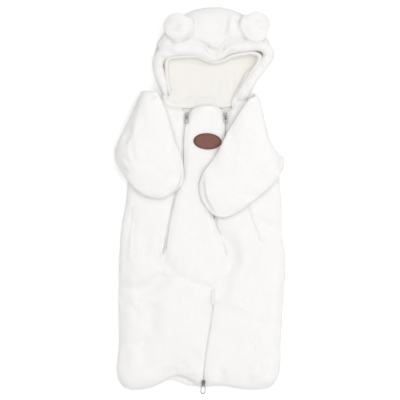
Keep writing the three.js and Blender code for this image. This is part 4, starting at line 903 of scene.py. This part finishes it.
brown_leather = leather_finish()
patch = merged_copy("leather_patch", "patch")
surface = BVHTree.FromObject(patch, bpy.context.evaluated_depsgraph_get())
bm = bmesh.new()
bm.from_mesh(patch.data)
STITCHES = 58
for i in range(STITCHES):
    angle = 2 * math.pi * i / STITCHES
    reach = [(h - 0.0024) for h in PATCH_HALF]
    flat = Vector((math.cos(angle) * reach[0], math.sin(angle) * reach[1], 0))
    way = Vector((-math.sin(angle) * reach[0], math.cos(angle) * reach[1], 0))
    turn = Matrix.Rotation(PATCH_TURN, 4, "Z")
    spot = Vector((*PATCH_MIDDLE, 0)) + turn @ flat
    hit = surface.ray_cast(Vector((spot.x, spot.y, 0.06)), Vector((0, 0, -1)))[0]
    if hit is None:
        continue
    heading = math.atan2((turn @ way).y, (turn @ way).x)
    place = Matrix.Translation(hit + Vector((0, 0, 0.00005)))
    place = place @ Matrix.Rotation(heading, 4, "Z") @ Matrix.Diagonal((0.0008, 0.0003, 0.00025, 1))
    bmesh.ops.create_uvsphere(bm, u_segments=6, v_segments=4, radius=1, matrix=place)
bm.to_mesh(patch.data)
bm.free()
patch.data.materials.clear()
patch.data.materials.append(brown_leather)
patch.data.shade_smooth()
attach(patch, "suit")
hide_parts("patch")

# The neck label: a short piece of white woven tape, sewn down below the neck at the
# back of the hood's lining, with nothing on it.
label = merged_copy("neck_label_tape", "neck_label")
soften(label, 0.0008, 2)
label.data.materials.append(woven_tape)
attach(label, "suit")
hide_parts("neck_label")

# The sliders and their ring pulls: cast zinc, nickel plated, with the fine scratches
# and softened edges of tumbled castings.


def nickel_finish():
    finish = bpy.data.materials.new("nickel")
    finish.use_nodes = True
    nodes, links = finish.node_tree.nodes, finish.node_tree.links
    shader = nodes["Principled BSDF"]
    shader.inputs["Base Color"].default_value = (0.28, 0.277, 0.27, 1.0)
    shader.inputs["Metallic"].default_value = 1.0
    place = nodes.new("ShaderNodeTexCoord")
    scratch = nodes.new("ShaderNodeTexNoise")
    scratch.inputs["Scale"].default_value = 900.0
    scratch.inputs["Detail"].default_value = 3.0
    links.new(place.outputs["Object"], scratch.inputs["Vector"])
    rough = nodes.new("ShaderNodeMapRange")
    rough.inputs["To Min"].default_value = 0.3
    rough.inputs["To Max"].default_value = 0.46
    links.new(scratch.outputs["Fac"], rough.inputs["Value"])
    links.new(rough.outputs["Result"], shader.inputs["Roughness"])
    relief = nodes.new("ShaderNodeBump")
    relief.inputs["Strength"].default_value = 0.1
    relief.inputs["Distance"].default_value = 0.0001
    links.new(scratch.outputs["Fac"], relief.inputs["Height"])
    links.new(relief.outputs["Normal"], shader.inputs["Normal"])
    return finish


nickel = nickel_finish()
for end in ("left", "right", "hem"):
    for part in ("slider", "pull"):
        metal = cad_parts[f"{part}_{end}"]
        metal.data.materials.clear()
        metal.data.materials.append(nickel)
